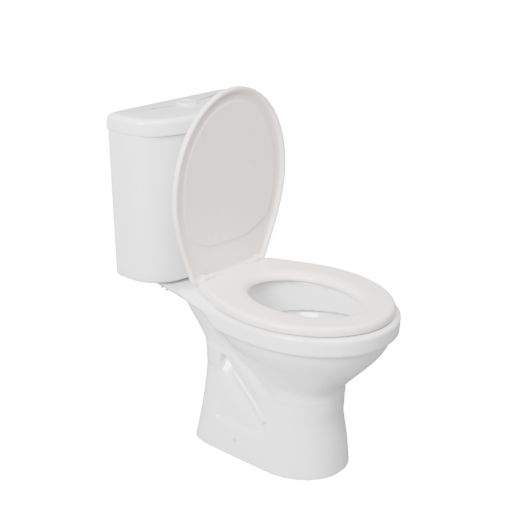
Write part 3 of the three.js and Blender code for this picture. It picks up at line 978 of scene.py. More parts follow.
def curve_through(points: Sequence[Point], steps: int) -> Array:
    """A smooth curve through the points, by uniform steps of its parameter.

    Args:
        points: the points to pass through.
        steps: how many points to give.

    Returns:
        The points of the curve.
    """
    knots = np.arange(len(points))
    wanted = np.linspace(0, len(points) - 1, steps)
    columns = np.array(points, float).T
    return np.column_stack([smooth_steps(wanted, knots, column) for column in columns])


def surface_net(field: Callable[[Array], Array], low: Point, high: Point,
                step: float) -> tuple[Array, list]:
    """Meshes the zero surface of a field with even quads.

    Args:
        field: the solid, negative inside.
        low: lowest corner of the grid.
        high: highest corner of the grid.
        step: grid spacing.

    Returns:
        The points, moved onto the surface, and the quads.
    """
    axes = [np.arange(a, b + step, step) for a, b in zip(low, high)]
    grid = np.stack(np.meshgrid(*axes, indexing="ij"), -1)
    shape = grid.shape[:3]
    values = field(grid.reshape(-1, 3)).reshape(shape)
    inside = values < 0
    cells = tuple(n - 1 for n in shape)
    total, hits = np.zeros((*cells, 3)), np.zeros(cells)
    for axis in range(3):
        ahead = [slice(None)] * 3
        behind = [slice(None)] * 3
        ahead[axis], behind[axis] = slice(1, None), slice(None, -1)
        a, b = values[tuple(behind)], values[tuple(ahead)]
        crossed = inside[tuple(behind)] != inside[tuple(ahead)]
        share = np.where(crossed, a / np.where(crossed, a - b, 1), 0)
        point = grid[tuple(behind)].copy()
        point[..., axis] += share * step
        others = [k for k in range(3) if k != axis]
        for da in (0, 1):
            for db in (0, 1):
                pick = [slice(None)] * 3
                pick[others[0]] = slice(da, da + cells[others[0]])
                pick[others[1]] = slice(db, db + cells[others[1]])
                on = crossed[tuple(pick)]
                total += np.where(on[..., None], point[tuple(pick)], 0)
                hits += on
    used = hits > 0
    number = np.full(cells, -1)
    number[used] = np.arange(used.sum())
    points = total[used] / hits[used][:, None]
    quads = []
    for axis in range(3):
        ahead = [slice(1, -1)] * 3
        behind = [slice(1, -1)] * 3
        ahead[axis], behind[axis] = slice(1, None), slice(None, -1)
        first, second = inside[tuple(behind)], inside[tuple(ahead)]
        u, v = [(axis + 1) % 3, (axis + 2) % 3]
        for enters, order in ((second & ~first, -1), (first & ~second, 1)):
            spot = np.argwhere(enters)
            corners = []
            for du, dv in ((0, 0), (1, 0), (1, 1), (0, 1)):
                cell = spot.copy()
                cell[:, u] += du
                cell[:, v] += dv
                corners.append(number[cell[:, 0], cell[:, 1], cell[:, 2]])
            quads.append(np.column_stack(corners)[:, ::order])
    for _ in range(SETTLING_PASSES):
        level = field(points)
        probes = np.eye(3) * PROBE_MM
        slope = np.column_stack([field(points + probe) - level for probe in probes]) / PROBE_MM
        size = np.maximum((slope**2).sum(1), 0.05)
        move = slope * (level / size)[:, None]
        length = np.linalg.norm(move, axis=1)
        points -= move * np.minimum(1, 0.5 * step / np.maximum(length, 1e-9))[:, None]
    return points, np.vstack(quads).tolist()


# ---- pan ---------------------------------------------------------------------------------------
@dataclass
class Pan:
    """The one-piece china pan: foot, bowl, rim, deck, trap and the hollow underneath."""

    rim_top: float = 382.0
    band_height: float = 40.0
    shelf_top: float = 366.0
    shelf_front: float = 150.0
    deck_back: float = 294.0
    deck_bottom: float = 353.0
    deck_stations: tuple[float, ...] = (40, 140, 226, 270, 294)
    deck_halves: tuple[float, ...] = (158, 134, 114, 106, 92)
    valve_y: float = 255.0
    wall: float = 13.0
    trap_radius: float = 27.0
    grid: float = 4.5
    foot: Loft = Loft((
        Section(0, -231, 139, 114, -95, 2.15, 6.5), Section(66, -222, 131, 107, -95, 2.15, 6),
        Section(120, -211, 129, 100, -98, 2.1, 5.5), Section(192, -201, 129, 94, -102, 2.1, 5),
        Section(240, -150, 129, 92, -60, 2.1, 5)))
    funnel: Loft = Loft((
        Section(188, -204, -60, 90, -110), Section(214, -222, -30, 103, -110),
        Section(251, -256, 40, 127, -108), Section(289, -289, 90, 154, -104),
        Section(317, -306, 105, 170, -102), Section(340, -313, 112, 178, -100),
        Section(372, -314, 112, 179, -100)))
    rim: Loft = Loft((
        Section(330, -326, 250, 190, -100, 2.1, 2.25), Section(382, -327, 250, 191, -100, 2.1, 2.25)))
    neck: Loft = Loft((
        Section(205, -60, 122, 86, 20, 2.1, 4), Section(240, -60, 130, 89, 20, 2.1, 4),
        Section(272, -60, 160, 93, 30, 2.1, 3.4), Section(318, -60, 196, 104, 30, 2.1, 3.4),
        Section(360, -60, 224, 112, 40, 2.1, 3.2)))
    bowl: Loft = Loft((
        Section(142, -92, -16, 32, -54), Section(160, -112, -16, 46, -60),
        Section(200, -170, -26, 78, -88), Section(240, -214, -8, 106, -96),
        Section(280, -250, 46, 130, -100), Section(302, -270, 62, 144, -104),
        Section(330, -290, 78, 160, -104), Section(362, -286, 76, 156, -104)))
    mouth: Loft = Loft((
        Section(296, -264, 52, 126, -105), Section(360, -265, 53, 127, -105),
        Section(374, -268, 56, 130, -105), Section(384, -276, 64, 138, -105)))
    trap_line: tuple = ((0, -52, 166), (0, -26, 152), (0, 4, 164), (0, 14, 192),
                        (0, 46, 222), (0, 78, 192), (0, 80, 140), (0, 80, -6))
    ridge_line: tuple = ((64, 62, 282), (66, 30, 256), (68, -14, 218), (68, -58, 182), (66, -96, 160))
    rib_line: tuple = ((78, 24, 194), (86, -38, 148), (93, -80, 117))
    dimples: tuple = ((97, -89, 111, 6.5), (98, -83, 86, 6.5))

    def deck(self, p: Array) -> Array:
        """The flat deck behind the rim, narrowing to the back, with a soft lower edge.

        Args:
            p: the points, one in each row.

        Returns:
            The field at each point.
        """
        side = np.interp(p[:, 1], self.deck_stations, self.deck_halves)
        plan = soft_max((np.abs(p[:, 0]) - side) * 0.97, p[:, 1] - self.deck_back, 26)
        plan = np.maximum(plan, 20 - p[:, 1])
        slab = soft_max(plan, p[:, 2] - self.rim_top, 6)
        return soft_max(slab, self.deck_bottom - p[:, 2], 12)

    def band(self, p: Array) -> Array:
        """The upright band round the rim; its lower edge sweeps up to the deck behind the bowl.

        Args:
            p: the points, one in each row.

        Returns:
            The field at each point.
        """
        rise = np.clip((p[:, 1] + 16) / 64, 0, 1)
        low_edge = self.rim_top - self.band_height + 28 * rise * rise * (3 - 2 * rise)
        upright = soft_max(self.rim.plan(p), p[:, 2] - self.rim_top, 8)
        return soft_max(upright, (low_edge - p[:, 2]) * 0.85, 5)

    def outside(self, p: Array) -> Array:
        """Everything that shows from outside, before the hollows are cut.

        Args:
            p: the points, one in each row.

        Returns:
            The field at each point.
        """
        column = soft_min(self.foot.field(p, edge=4), self.neck.field(p, edge=6), 16)
        shape = soft_min(self.sunk(p, column), self.funnel.field(p, edge=8), 24)
        shape = soft_min(shape, self.ridges(p), 7)
        shape = soft_min(shape, self.band(p), 8)
        shape = soft_min(shape, self.deck(p), 10)
        boss_line = np.array([[0, 130, 0], [0, self.valve_y, 0]])
        boss = within(p, (-60, 90, 300), (60, 320, 372), lambda q: soft_max(
            rod(q * (1, 1, 0), boss_line, 36.0), 318 - q[:, 2], 8))
        shape = soft_min(shape, np.maximum(boss, p[:, 2] - 360), 8)
        step = soft_max(self.shelf_top - p[:, 2], self.shelf_front - p[:, 1], 5)
        return soft_max(shape, -step, 3)

    def sunk(self, p: Array, column: Array) -> Array:
        """Sinks a panel into each side of the foot, under the slanting ridge.

        Args:
            p: the points, one in each row.
            column: the field of foot and neck.

        Returns:
            The field at each point.
        """
        x, y, z = p.T
        lower = 76 - z
        front = -88 - y
        back = (y - 58) * 0.95
        slant = (z - (127 + (y + 92) * 0.78)) * 0.8
        panel = soft_max(soft_max(lower, front, 12), soft_max(back, slant, 16), 12)
        deepest = np.interp(z, [90, 130, 170, 215], [91, 84, 78, 66])
        fade = deepest + np.interp(slant, [-58, -12], [1, 0]) * (97 - deepest)
        return soft_max(column, -soft_max(panel, fade - np.abs(x), 5), 5)

    def ridges(self, p: Array) -> Array:
        """The trap's upper leg, showing as a slanting ridge on both sides.

        Args:
            p: the points, one in each row.

        Returns:
            The field at each point.
        """
        mirrored = np.column_stack([np.abs(p[:, 0]), p[:, 1:]])
        line = np.array(self.ridge_line, float)
        leg = within(mirrored, (0, -150, 100), (130, 120, 330),
                     lambda q: rod(q, line, np.array([26.0, 28, 30, 30, 28])))
        rib = within(mirrored, (50, -130, 90), (130, 60, 230),
                     lambda q: rod(q, np.array(self.rib_line, float), np.array([7.0, 8.0, 11.0])))
        return soft_min(leg, rib, 3)

    def hollows(self, p: Array) -> Array:
        """Everything cut out of the pan: bowl, rim channel, trap, inlet, underside and holes.

        Args:
            p: the points, one in each row.

        Returns:
            The field at each point.
        """
        z = p[:, 2]
        lip = 302 - 0.16 * p[:, 1]
        mouth = self.mouth.plan(p)
        rim_wall = soft_max(mouth - 9, lip - z, 3)
        basin = self.bowl.field(p, edge=10)
        cut = soft_max(basin, -rim_wall, 3)
        cut = np.minimum(cut, np.maximum(mouth, 292 - z))
        trap = within(p, (-70, -110, -10), (70, 140, 262),
                      lambda q: rod(q, curve_through(self.trap_line, 36), self.trap_radius))
        cut = soft_min(cut, trap, 6)
        hollow = soft_max(self.foot.plan(p) + 22, z - 184, 14)
        hollow = soft_max(hollow, self.wall + 2 - self.bowl.field(p, edge=10), 12)
        hollow = soft_max(hollow, self.wall - trap, 12)
        cut = np.minimum(cut, hollow)
        for x, y, height, radius in self.dimples:
            dent = np.sqrt((np.abs(p[:, 0]) - x) ** 2 + (p[:, 1] - y) ** 2 + (z - height) ** 2) - radius
            cut = np.minimum(cut, dent)
        return np.minimum(cut, self.service_holes(p))

    def service_holes(self, p: Array) -> Array:
        """The flush inlet, the gasket recess and the pockets under the deck.

        Args:
            p: the points, one in each row.

        Returns:
            The field at each point.
        """
        x, y, z = p.T
        away = np.hypot(x, y - self.valve_y)
        inlet = np.maximum(away - 20, 342 - z)
        recess = np.maximum(away - 47, self.shelf_top - 10 - z)
        duct = within(p, (-30, 40, 315), (30, 285, 362), lambda q: rod(
            q, np.array([[0, 259, 344], [0, 170, 340], [0, 80, 336]], float), 15.0))
        pocket = soft_max(soft_max(np.abs(np.abs(x) - 77) - 21, np.abs(y - 180) - 90, 8),
                          np.abs(z - 341) - 13, 4)
        return np.minimum(np.minimum(inlet, recess), np.minimum(duct, pocket))

    def solid(self, p: Array) -> Array:
        """The whole pan as one field."""
        return soft_max(self.outside(p), -self.hollows(p), 3)

    def build(self, shop: Workshop) -> None:
        """Meshes the pan, drills its bolt holes and hands it to the frame.

        Args:
            shop: the finishes.
        """
        low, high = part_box("pan")
        margin = 2.5 * self.grid
        points, quads = surface_net(self.solid, [c / MM - margin for c in low],
                                    [c / MM + margin for c in high], self.grid)
        points[:, 2] = np.where(points[:, 2] < 1.2, 0, points[:, 2])
        piece = mesh_object("pan_glazed", points, quads)
        piece.data.shade_smooth()
        holes = []
        for side in SIDES.values():
            holes += [cylinder((side * 77.5, 108, 330), (side * 77.5, 108, 390), 7),
                      cylinder((side * 66, self.valve_y, 340), (side * 66, self.valve_y, 372), 6),
                      cylinder((side * 80, -9, 41), (side * 130, -9, 41), 4)]
        combine(piece, holes, "DIFFERENCE", "MANIFOLD")
        soften(piece, 50)
        shop.deliver(piece, Slot.CHINA, "pan", "pan")


# ---- cistern and its lid -----------------------------------------------------------------------
def half_ovals(half: float, front: float, back: float, mid: float, powers: tuple[float, float],
               count: int = 220) -> Array:
    """Plan outline of two half super-ellipses, with points spaced evenly.

    Args:
        half: half the width.
        front: the foremost Y.
        back: the hindmost Y.
        mid: the Y where it is widest.
        powers: how square the front and the back are.
        count: how many points to give.

    Returns:
        The outline, counter-clockwise.
    """
    turn = np.linspace(0, 2 * np.pi, 1600, endpoint=False)
    sine, cosine = np.sin(turn), np.cos(turn)
    exponent = 2 / np.where(sine < 0, powers[0], powers[1])
    reach = np.where(sine < 0, mid - front, back - mid)
    x = half * np.sign(cosine) * np.abs(cosine) ** exponent
    y = mid + reach * np.sign(sine) * np.abs(sine) ** exponent
    return evenly(np.column_stack([x, y]), count)


def edge_round(z: float, radius: float, going_up: bool, steps: int = 6) -> list[tuple[float, float]]:
    """(inset, height) pairs of a quarter round; it ends at z going up, or starts there.

    Args:
        z: the height of the face that it meets.
        radius: the quarter round's radius.
        going_up: whether it ends at the height, or starts there.
        steps: how many points to give.

    Returns:
        The pairs, in order.
    """
    pairs = []
    for t in np.linspace(0, np.pi / 2, steps):
        pairs.append((radius * (1 - math.cos(t)), z - radius + radius * math.sin(t)))
    return pairs if going_up else [(i, 2 * z - h) for i, h in reversed(pairs)]


@dataclass
class Cistern:
    """The china tank, wider at the top, with a bowed front and a flat back."""

    bottom: float = 374.0
    top: float = 728.3
    back: float = 325.0
    floor: float = 10.0
    wall: float = 9.0
    valve_y: float = 255.0
    bolt_x: float = 66.0
    fill_x: float = 134.0
    foot_radius: float = 12.0

    def outline(self, z: float, by: float) -> Array:
        """The tank's plan outline at a height, drawn in by a distance."""
        rise = (z - self.bottom) / (self.top - self.bottom)
        return half_ovals(171 + 25 * rise - by, 185 - 9 * rise + by, self.back - by, 288, (3, 9))

    def build(self, shop: Workshop) -> None:
        """Builds the tank's walls, drills its floor and hands it to the frame.

        Args:
            shop: the finishes.
        """
        outer = edge_round(self.bottom, self.foot_radius, going_up=False)
        outer += [(0, z) for z in np.linspace(self.bottom + 40, self.top - 30, 8)]
        outer += edge_round(self.top, 2.5, going_up=True)
        floor = self.bottom + self.floor
        inner = [(self.wall - 2, self.top), (self.wall, self.top - 3)]
        inner += [(self.wall, z) for z in np.linspace(self.top - 30, floor + 40, 6)]
        inner += [(self.wall + i, z) for i, z in reversed(edge_round(floor, 14, going_up=False))]
        rows = [ring(self.outline(z, by), z) for by, z in outer + inner]
        piece = mesh_object("cistern_glazed", *skin(np.array(rows)))
        tidy_normals(piece)
        drills = [cylinder((0, self.valve_y, 360), (0, self.valve_y, 400), 31, 72),
                  cylinder((self.fill_x, self.valve_y, 360), (self.fill_x, self.valve_y, 400), 10.5)]
        drills += [cylinder((x, self.valve_y, 360), (x, self.valve_y, 400), 6)
                   for x in (side * self.bolt_x for side in SIDES.values())]
        combine(piece, drills, "DIFFERENCE")
        soften(piece, 40)
        shop.deliver(piece, Slot.CHINA, "pan", "cistern")


@dataclass
class CisternCover:
    """The china cover that lifts off the tank, with a soft top edge and the button's hole."""

    bottom: float = 728.6
    top: float = 767.0
    back: float = 327.0
    half: float = 199.0
    front: float = 171.0
    edge: float = 13.0
    button_y: float = 262.0
    button_hole: float = 21.0

    def outline(self, by: float) -> Array:
        """The cover's plan outline, drawn in by a distance."""
        return half_ovals(self.half - by, self.front + by, self.back - by, 290, (3.2, 9))

    def build(self, shop: Workshop) -> None:
        """Builds the cover and hands it to the frame.

        Args:
            shop: the finishes.
        """
        pairs = edge_round(self.bottom, 2.5, going_up=False)
        pairs += [(0.3, self.bottom + 12), (0.8, self.bottom + 20)]
        pairs += [(0.8 + i, z) for i, z in edge_round(self.top - 1.2, self.edge, True, 10)]
        pairs += [(self.edge + 14, self.top - 0.6), (self.edge + 34, self.top - 0.2)]
        rows = [ring(self.outline(by), z) for by, z in pairs]
        centre = rows[-1].mean(0)
        rows += [centre + (rows[-1] - centre) * share for share in (0.7, 0.4, 0.15)]
        for row in rows[-3:]:
            row[:, 2] = self.top
        under = [(23, self.bottom), (24, self.top - 18), (28, self.top - 12), (36, self.top - 10)]
        rows = [ring(self.outline(by), z) for by, z in reversed(under)] + rows
        piece = mesh_object("cistern_cover_glazed", *skin(np.array(rows)))
        tidy_normals(piece)
        hole = cylinder((0, self.button_y, 740), (0, self.button_y, 780), self.button_hole, 96)
        combine(piece, [hole], "DIFFERENCE")
        soften(piece, 40)
        shop.deliver(piece, Slot.CHINA, "cistern_lid", "cistern_lid")


# ---- seat --------------------------------------------------------------------------------------
@dataclass
class SeatShape:
    """The outline that the seat ring and the lid share, and the line of their hinge."""

    half: float = 187.6
    mid: float = -97.6
    back_half: float = 127.0
    corner: float = 24.0
    hinge_y: float = 108.0
    hinge_z: float = 402.8
    barrel: float = 8.0
    bore: float = 4.3
    around: int = 240

    def outline(self, front: float, back: float) -> Array:
        """Egg-shaped front, sides that draw in, and a straight back with round corners.

        Args:
            front: the foremost Y.
            back: the hindmost Y.

        Returns:
            The outline, counter-clockwise.
        """
        turn = np.linspace(np.pi, 2 * np.pi, 300)
        nose = np.column_stack([self.half * np.cos(turn), self.mid + (self.mid - front) * np.sin(turn)])
        t = np.linspace(0, 1, 120)[1:, None]
        bend = [np.array(c) for c in ((self.half, self.mid), (self.half, self.mid + 78),
                                      (self.back_half + 26, back - 78),
                                      (self.back_half + 4, back - self.corner))]
        side = ((1 - t) ** 3 * bend[0] + 3 * (1 - t) ** 2 * t * bend[1]
                + 3 * (1 - t) * t**2 * bend[2] + t**3 * bend[3])
        turn_in = [bend[3], np.array((self.back_half - 4, back)),
                   np.array((self.back_half - self.corner - 4, back))]
        corner = (1 - t) ** 2 * turn_in[0] + 2 * (1 - t) * t * turn_in[1] + t**2 * turn_in[2]
        right = np.vstack([side, corner])
        left = right[::-1] * (-1, 1)
        return evenly(np.vstack([nose, right, left[:-1]]), self.around)

    def across(self, side: int, xs: tuple[float, float], radius: float) -> bpy.types.Object:
        """A round bar along the hinge line on one side."""
        return cylinder((side * xs[0], self.hinge_y, self.hinge_z),
                        (side * xs[1], self.hinge_y, self.hinge_z), radius)


@dataclass
class SeatRing:
    """The moulded ring, with a rolled outer edge, a dished inner lip and two knuckles."""

    shape: SeatShape
    front: float = -315.0
    back: float = 111.5
    bottom: float = 386.0
    top: float = 405.5
    hole_half: float = 106.0
    hole_length: float = 138.0
    hole_mid: float = -105.0
    notch: tuple[float, float] = (66.7, 106.0)

    def hole(self, outer: Array, by: float) -> Array:
        """The hole's outline, point for point opposite the outer one.

        Args:
            outer: the outer outline.
            by: how far to widen it.

        Returns:
            The outline of the hole.
        """
        turn = np.arctan2((outer[:, 1] - self.hole_mid) / self.hole_length, outer[:, 0] / self.hole_half)
        return np.column_stack([(self.hole_half + by) * np.cos(turn),
                                self.hole_mid + (self.hole_length + by) * np.sin(turn)])

    def build(self, shop: Workshop) -> None:
        """Builds the ring and hands it to the frame.

        Args:
            shop: the finishes.
        """
        outer = self.shape.outline(self.front, self.back)
        rise = self.top - self.bottom
        edge = [(3, self.bottom), (1, self.bottom + 0.8), (0, self.bottom + 3), (0, self.bottom + 7)]
        edge += [(11 * (1 - math.cos(t)), self.bottom + 8 + (rise - 8.2) * math.sin(t))
                 for t in np.linspace(0.1, np.pi / 2, 9)]
        lip = [(27 - 27 * math.sin(t), self.top - 15.5 * (1 - math.cos(t)) - 0.2)
               for t in np.linspace(0.05, np.pi / 2, 14)]
        lip += [(0.3, self.bottom + 1.2), (1.6, self.bottom)]
        rows = [ring(inset(outer, by), z) for by, z in edge]
        last, first = rows[-1], ring(self.hole(outer, lip[0][0]), lip[0][1])
        rows += [last * (1 - share) + first * share for share in (0.25, 0.6)]
        rows += [ring(self.hole(outer, by), z) for by, z in lip]
        piece = mesh_object("seat_ring_moulded", *skin(np.array(rows), closed=True))
        tidy_normals(piece)
        inner, outer_x = self.notch
        gaps = []
        for side in SIDES.values():
            xs = sorted((side * inner, side * outer_x))
            gaps.append(block((xs[0], 96, 380), (xs[1], 130, 412)))
        combine(piece, gaps, "DIFFERENCE")
        combine(piece, [self.shape.across(s, (52, inner), self.shape.barrel) for s in SIDES.values()],
                "UNION")
        combine(piece, [self.shape.across(s, (50, 110), self.shape.bore) for s in SIDES.values()],
                "DIFFERENCE")
        soften(piece, 40)
        shop.deliver(piece, Slot.SEAT, "seat_ring", "seat_ring")


@dataclass
class SeatLid:
    """The moulded lid: a domed top, a rolled rim and a softly raised panel on its inside."""

    shape: SeatShape
    front: float = -318.2
    back: float = 121.8
    bottom: float = 408.0
    edge: float = 15.0
    panel_step: float = 2.8
    panel_back: float = 40.8
    rings: int = 100

    def panel(self, x: Array, y: Array) -> Array:
        """Height of the raised panel on the inside of the lid.

        Args:
            x: places along X.
            y: places along Y.

        Returns:
            The height at each place.
        """
        bend = np.where(y < self.shape.mid, self.shape.mid - self.front - 31, 215.0)
        oval = np.hypot(x / 155.0, (y - self.shape.mid) / bend) - 1
        bottom = (y - self.panel_back + 0.30 * np.maximum(np.abs(x) - 60, 0)) / 120
        outside = soft_max(oval, bottom, 0.25) * 150
        step = np.clip((2 - outside) / 5, 0, 1)
        return self.panel_step * step * step * (3 - 2 * step)

    def inside_face(self, outer: Array) -> list[Array]:
        """Rings of the inside face, from the middle out to the rim.

        Args:
            outer: the outer outline.

        Returns:
            The rings of points.
        """
        rows = []
        frame = inset(outer, 17)
        centre = np.array([0, self.shape.mid])
        for share in np.linspace(0.02, 1, self.rings):
            flat = centre + (frame - centre) * share
            dish = self.bottom + self.edge - 6.5 + 2.2 * (1 - share**2)
            rows.append(ring(flat, dish - self.panel(*flat.T)))
        return rows

    def build(self, shop: Workshop) -> None:
        """Builds the lid closed, stands it up about its hinge and hands it to the frame.

        Args:
            shop: the finishes.
        """
        outer = self.shape.outline(self.front, self.back)
        top = self.bottom + self.edge
        rows = self.inside_face(outer)
        rim = [(14, top - 7.2), (11.5, top - 9), (9.5, self.bottom + 3), (8.4, self.bottom + 0.9),
               (6.8, self.bottom), (2.6, self.bottom), (0.9, self.bottom + 0.8),
               (0, self.bottom + 2.8), (0, self.bottom + 8)]
        rim += [(9 * (1 - math.cos(t)), top - 6.5 + 6.5 * math.sin(t))
                for t in np.linspace(0.1, np.pi / 2, 8)]
        rows += [ring(inset(outer, by), z) for by, z in rim]
        shoulder = inset(outer, 9)
        centre = np.array([0, self.shape.mid])
        for share in np.linspace(0.97, 0.02, 30):
            rows.append(ring(centre + (shoulder - centre) * share, top + 5.6 * (1 - share**2)))
        piece = mesh_object("seat_lid_moulded", *skin(np.array(rows)))
        tidy_normals(piece)
        self.cut_hinge(piece)
        pivot = Vector((0, self.shape.hinge_y, self.shape.hinge_z)) * MM
        stand = Matrix.Translation(pivot) @ Matrix.Rotation(-math.pi / 2, 4, "X")
        piece.data.transform(stand @ Matrix.Translation(-pivot))
        soften(piece, 40)
        shop.deliver(piece, Slot.SEAT, "seat_lid", "seat_lid")

    def cut_hinge(self, piece: bpy.types.Object) -> None:
        """Cuts the notches for the posts and adds the lid's two knuckles.

        Args:
            piece: the mesh object.
        """
        notches, knuckles, bores = [], [], []
        for side in SIDES.values():
            gap, web = sorted((side * 51, side * 87.5)), sorted((side * 88.3, side * 104))
            notches.append(block((gap[0], 96, 390), (gap[1], 130, 412.6)))
            knuckles.append(block((web[0], 101, 406), (web[1], 118, 420)))
            knuckles.append(self.shape.across(side, (88.3, 104), self.shape.barrel))
            bores.append(self.shape.across(side, (50, 102), self.shape.bore))
        combine(piece, notches, "DIFFERENCE")
        combine(piece, knuckles, "UNION")
        combine(piece, bores, "DIFFERENCE")


@dataclass
class SeatPads:
    """The soft bumpers under the ring."""

    ends: tuple[str, ...] = ("front", "back")

    def build(self, shop: Workshop) -> None:
        """Sets one pad where each CAD bumper is, all in one mesh.

        Args:
            shop: the finishes.
        """
        nodes = [f"ring_bumper_{end}_{side}" for end in self.ends for side in SIDES]
        boxes = [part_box(node) for node in nodes]
        centres = [(low + high) / 2 for low, high in boxes]
        host = mesh_object("ring_pads", np.array(centres) / MM, [])
        size = tuple(boxes[0][1] - boxes[0][0])
        pad_tool().run(host, Size=size, Material=shop.materials[Slot.BUMPER])
        shop.deliver(host, Slot.BUMPER, "seat_ring", *nodes)


@dataclass
class SeatHinges:
    """The posts that stand on the deck and the steel pins that both hinges turn on."""

    shape: SeatShape
    post_x: float = 77.5
    deck: float = 382.3
    flange: float = 14.0
    shank: float = 3.8
    shank_foot: float = 312.0

    def build(self, shop: Workshop) -> None:
        """Builds posts and pins and hands them to the frame.

        Args:
            shop: the finishes.
        """
        y, z = self.shape.hinge_y, self.shape.hinge_z
        for place, side in SIDES.items():
            x = side * self.post_x
            profile = rounded_profile([
                (0.05, self.shank_foot, 0), (self.shank, self.shank_foot, 0.6),
                (self.shank, self.deck, 0), (self.flange, self.deck, 0.3),
                (self.flange, self.deck + 3, 1.2), (0.05, self.deck + 3, 0)])
            post = lathe(f"hinge_post_{place}_moulded", profile, x, y)
            stem = block((x - 7.5, y - 8.5, self.deck + 1), (x + 7.5, y + 8.5, z), 1.0)
            barrel = cylinder((x - 7.5, y, z), (x + 7.5, y, z), self.shape.barrel + 0.5)
            combine(post, [stem, barrel], "UNION")
            combine(post, [self.shape.across(side, (60, 95), self.shape.bore)], "DIFFERENCE")
            soften(post, 35)
            shop.deliver(post, Slot.SEAT, "pan", f"hinge_post_{place}")
            pin = cylinder((side * 53, y, z), (side * 101.5, y, z), 4.0)
            pin.name = f"hinge_pin_{place}_polished"
            soften(pin, 35)
            shop.deliver(pin, Slot.STEEL, "pan", f"hinge_pin_{place}")


# ---- flush button ------------------------------------------------------------------------------
@dataclass
class FlushButton:
    """The round dual button in the cover: a bezel, two caps, their rods and springs."""

    y: float = 262.0
    cover_top: float = 767.0
    rim: float = 25.5
    bore: float = 18.4
    face: float = 17.6
    top: float = 770.5
    split: float = -5.0
    slit: float = 0.4
    spring_foot: float = 744.7
    rods: dict[str, float] = field(default_factory=lambda: {"half": -11.0, "full": 7.0})
    travel_left: float = 0.42

    def build(self, shop: Workshop) -> None:
        """Builds every piece of the button and hands it to the frame.

        Args:
            shop: the finishes.
        """
        floor = self.spring_foot - 0.3
        bezel = lathe("button_bezel_turned", rounded_profile([
            (0.05, 742, 0), (20.4, 742, 0.8), (20.4, self.cover_top + 0.3, 0),
            (self.rim, self.cover_top + 0.3, 0.2), (self.rim, self.cover_top + 2.6, 1.0),
            (self.rim - 3, self.cover_top + 4.8, 1.2), (self.bore, self.cover_top + 4.2, 0.6),
            (self.bore, floor, 0.4), (0.05, floor, 0)]), 0, self.y, 128)
        combine(bezel, [cylinder((x, self.y, 730), (x, self.y, 760), 3.2) for x in self.rods.values()],
                "DIFFERENCE")
        soften(bezel, 30)
        shop.deliver(bezel, Slot.WHITE, "cistern_lid", "button_bezel")
        spring = spring_tool()
        for name, x in self.rods.items():
            self.cap(shop, name)
            coil = mesh_object(f"{name}_spring_wound", np.zeros((1, 3)), [])
            spring.run(coil, Turns=4.5, Coil_Radius=4.2 * MM, Height=11.8 * MM, Wire_Radius=0.5 * MM,
                       Place=Vector((x, self.y, self.spring_foot + 0.6)) * MM,
                       Material=shop.materials[Slot.STEEL])
            shop.deliver(coil, Slot.STEEL, "cistern_lid", f"{name}_button_spring")
            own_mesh(coil)

    def cap(self, shop: Workshop, name: str) -> None:
        """Builds one of the two caps, cut from the same dished disc.

        Args:
            shop: the finishes.
            name: which half: half or full.
        """
        cap = lathe(f"{name}_flush_cap", rounded_profile([
            (0.05, 758, 0), (self.face, 758, 0.3), (self.face, self.top, 1.4),
            (self.face - 4, self.top - 0.3, 1.5), (0.05, self.top - 0.9, 0)]), 0, self.y, 128)
        away = (self.split - self.slit, 60) if name == "half" else (-60, self.split + self.slit)
        combine(cap, [block((away[0], self.y - 40, 700), (away[1], self.y + 40, 790))], "DIFFERENCE")
        soften(cap, 30)
        shop.deliver(cap, Slot.WHITE, f"{name}_button", f"{name}_flush_button")


# ---- inner works and fixings -------------------------------------------------------------------
@dataclass
class InnerWorks:
    """The small pieces whose CAD shape is right: merged, softened and finished."""

    fine_words: tuple[str, ...] = ("pin", "rod", "washer", "seal", "gasket")
    fine_edge: float = 0.3
    edge: float = 0.7

    def build(self, shop: Workshop, frame: dict) -> None:
        """Finishes every CAD node that no other class has made.

        Args:
            shop: the finishes.
            frame: the loaded frame.
        """
        slots = {s["node"]: Slot(s["material_slot"]) for s in frame["record"]["subparts"]}
        bodies = frame["record"]["behaviour"]["bodies"]
        for body, nodes in bodies.items():
            for node in nodes:
                if frame["nodes"][node].hide_render:
                    continue
                fine = any(word in node for word in self.fine_words)
                edge = self.fine_edge if fine else self.edge
                shop.deliver(refined(node, edge), slots[node], body, node)


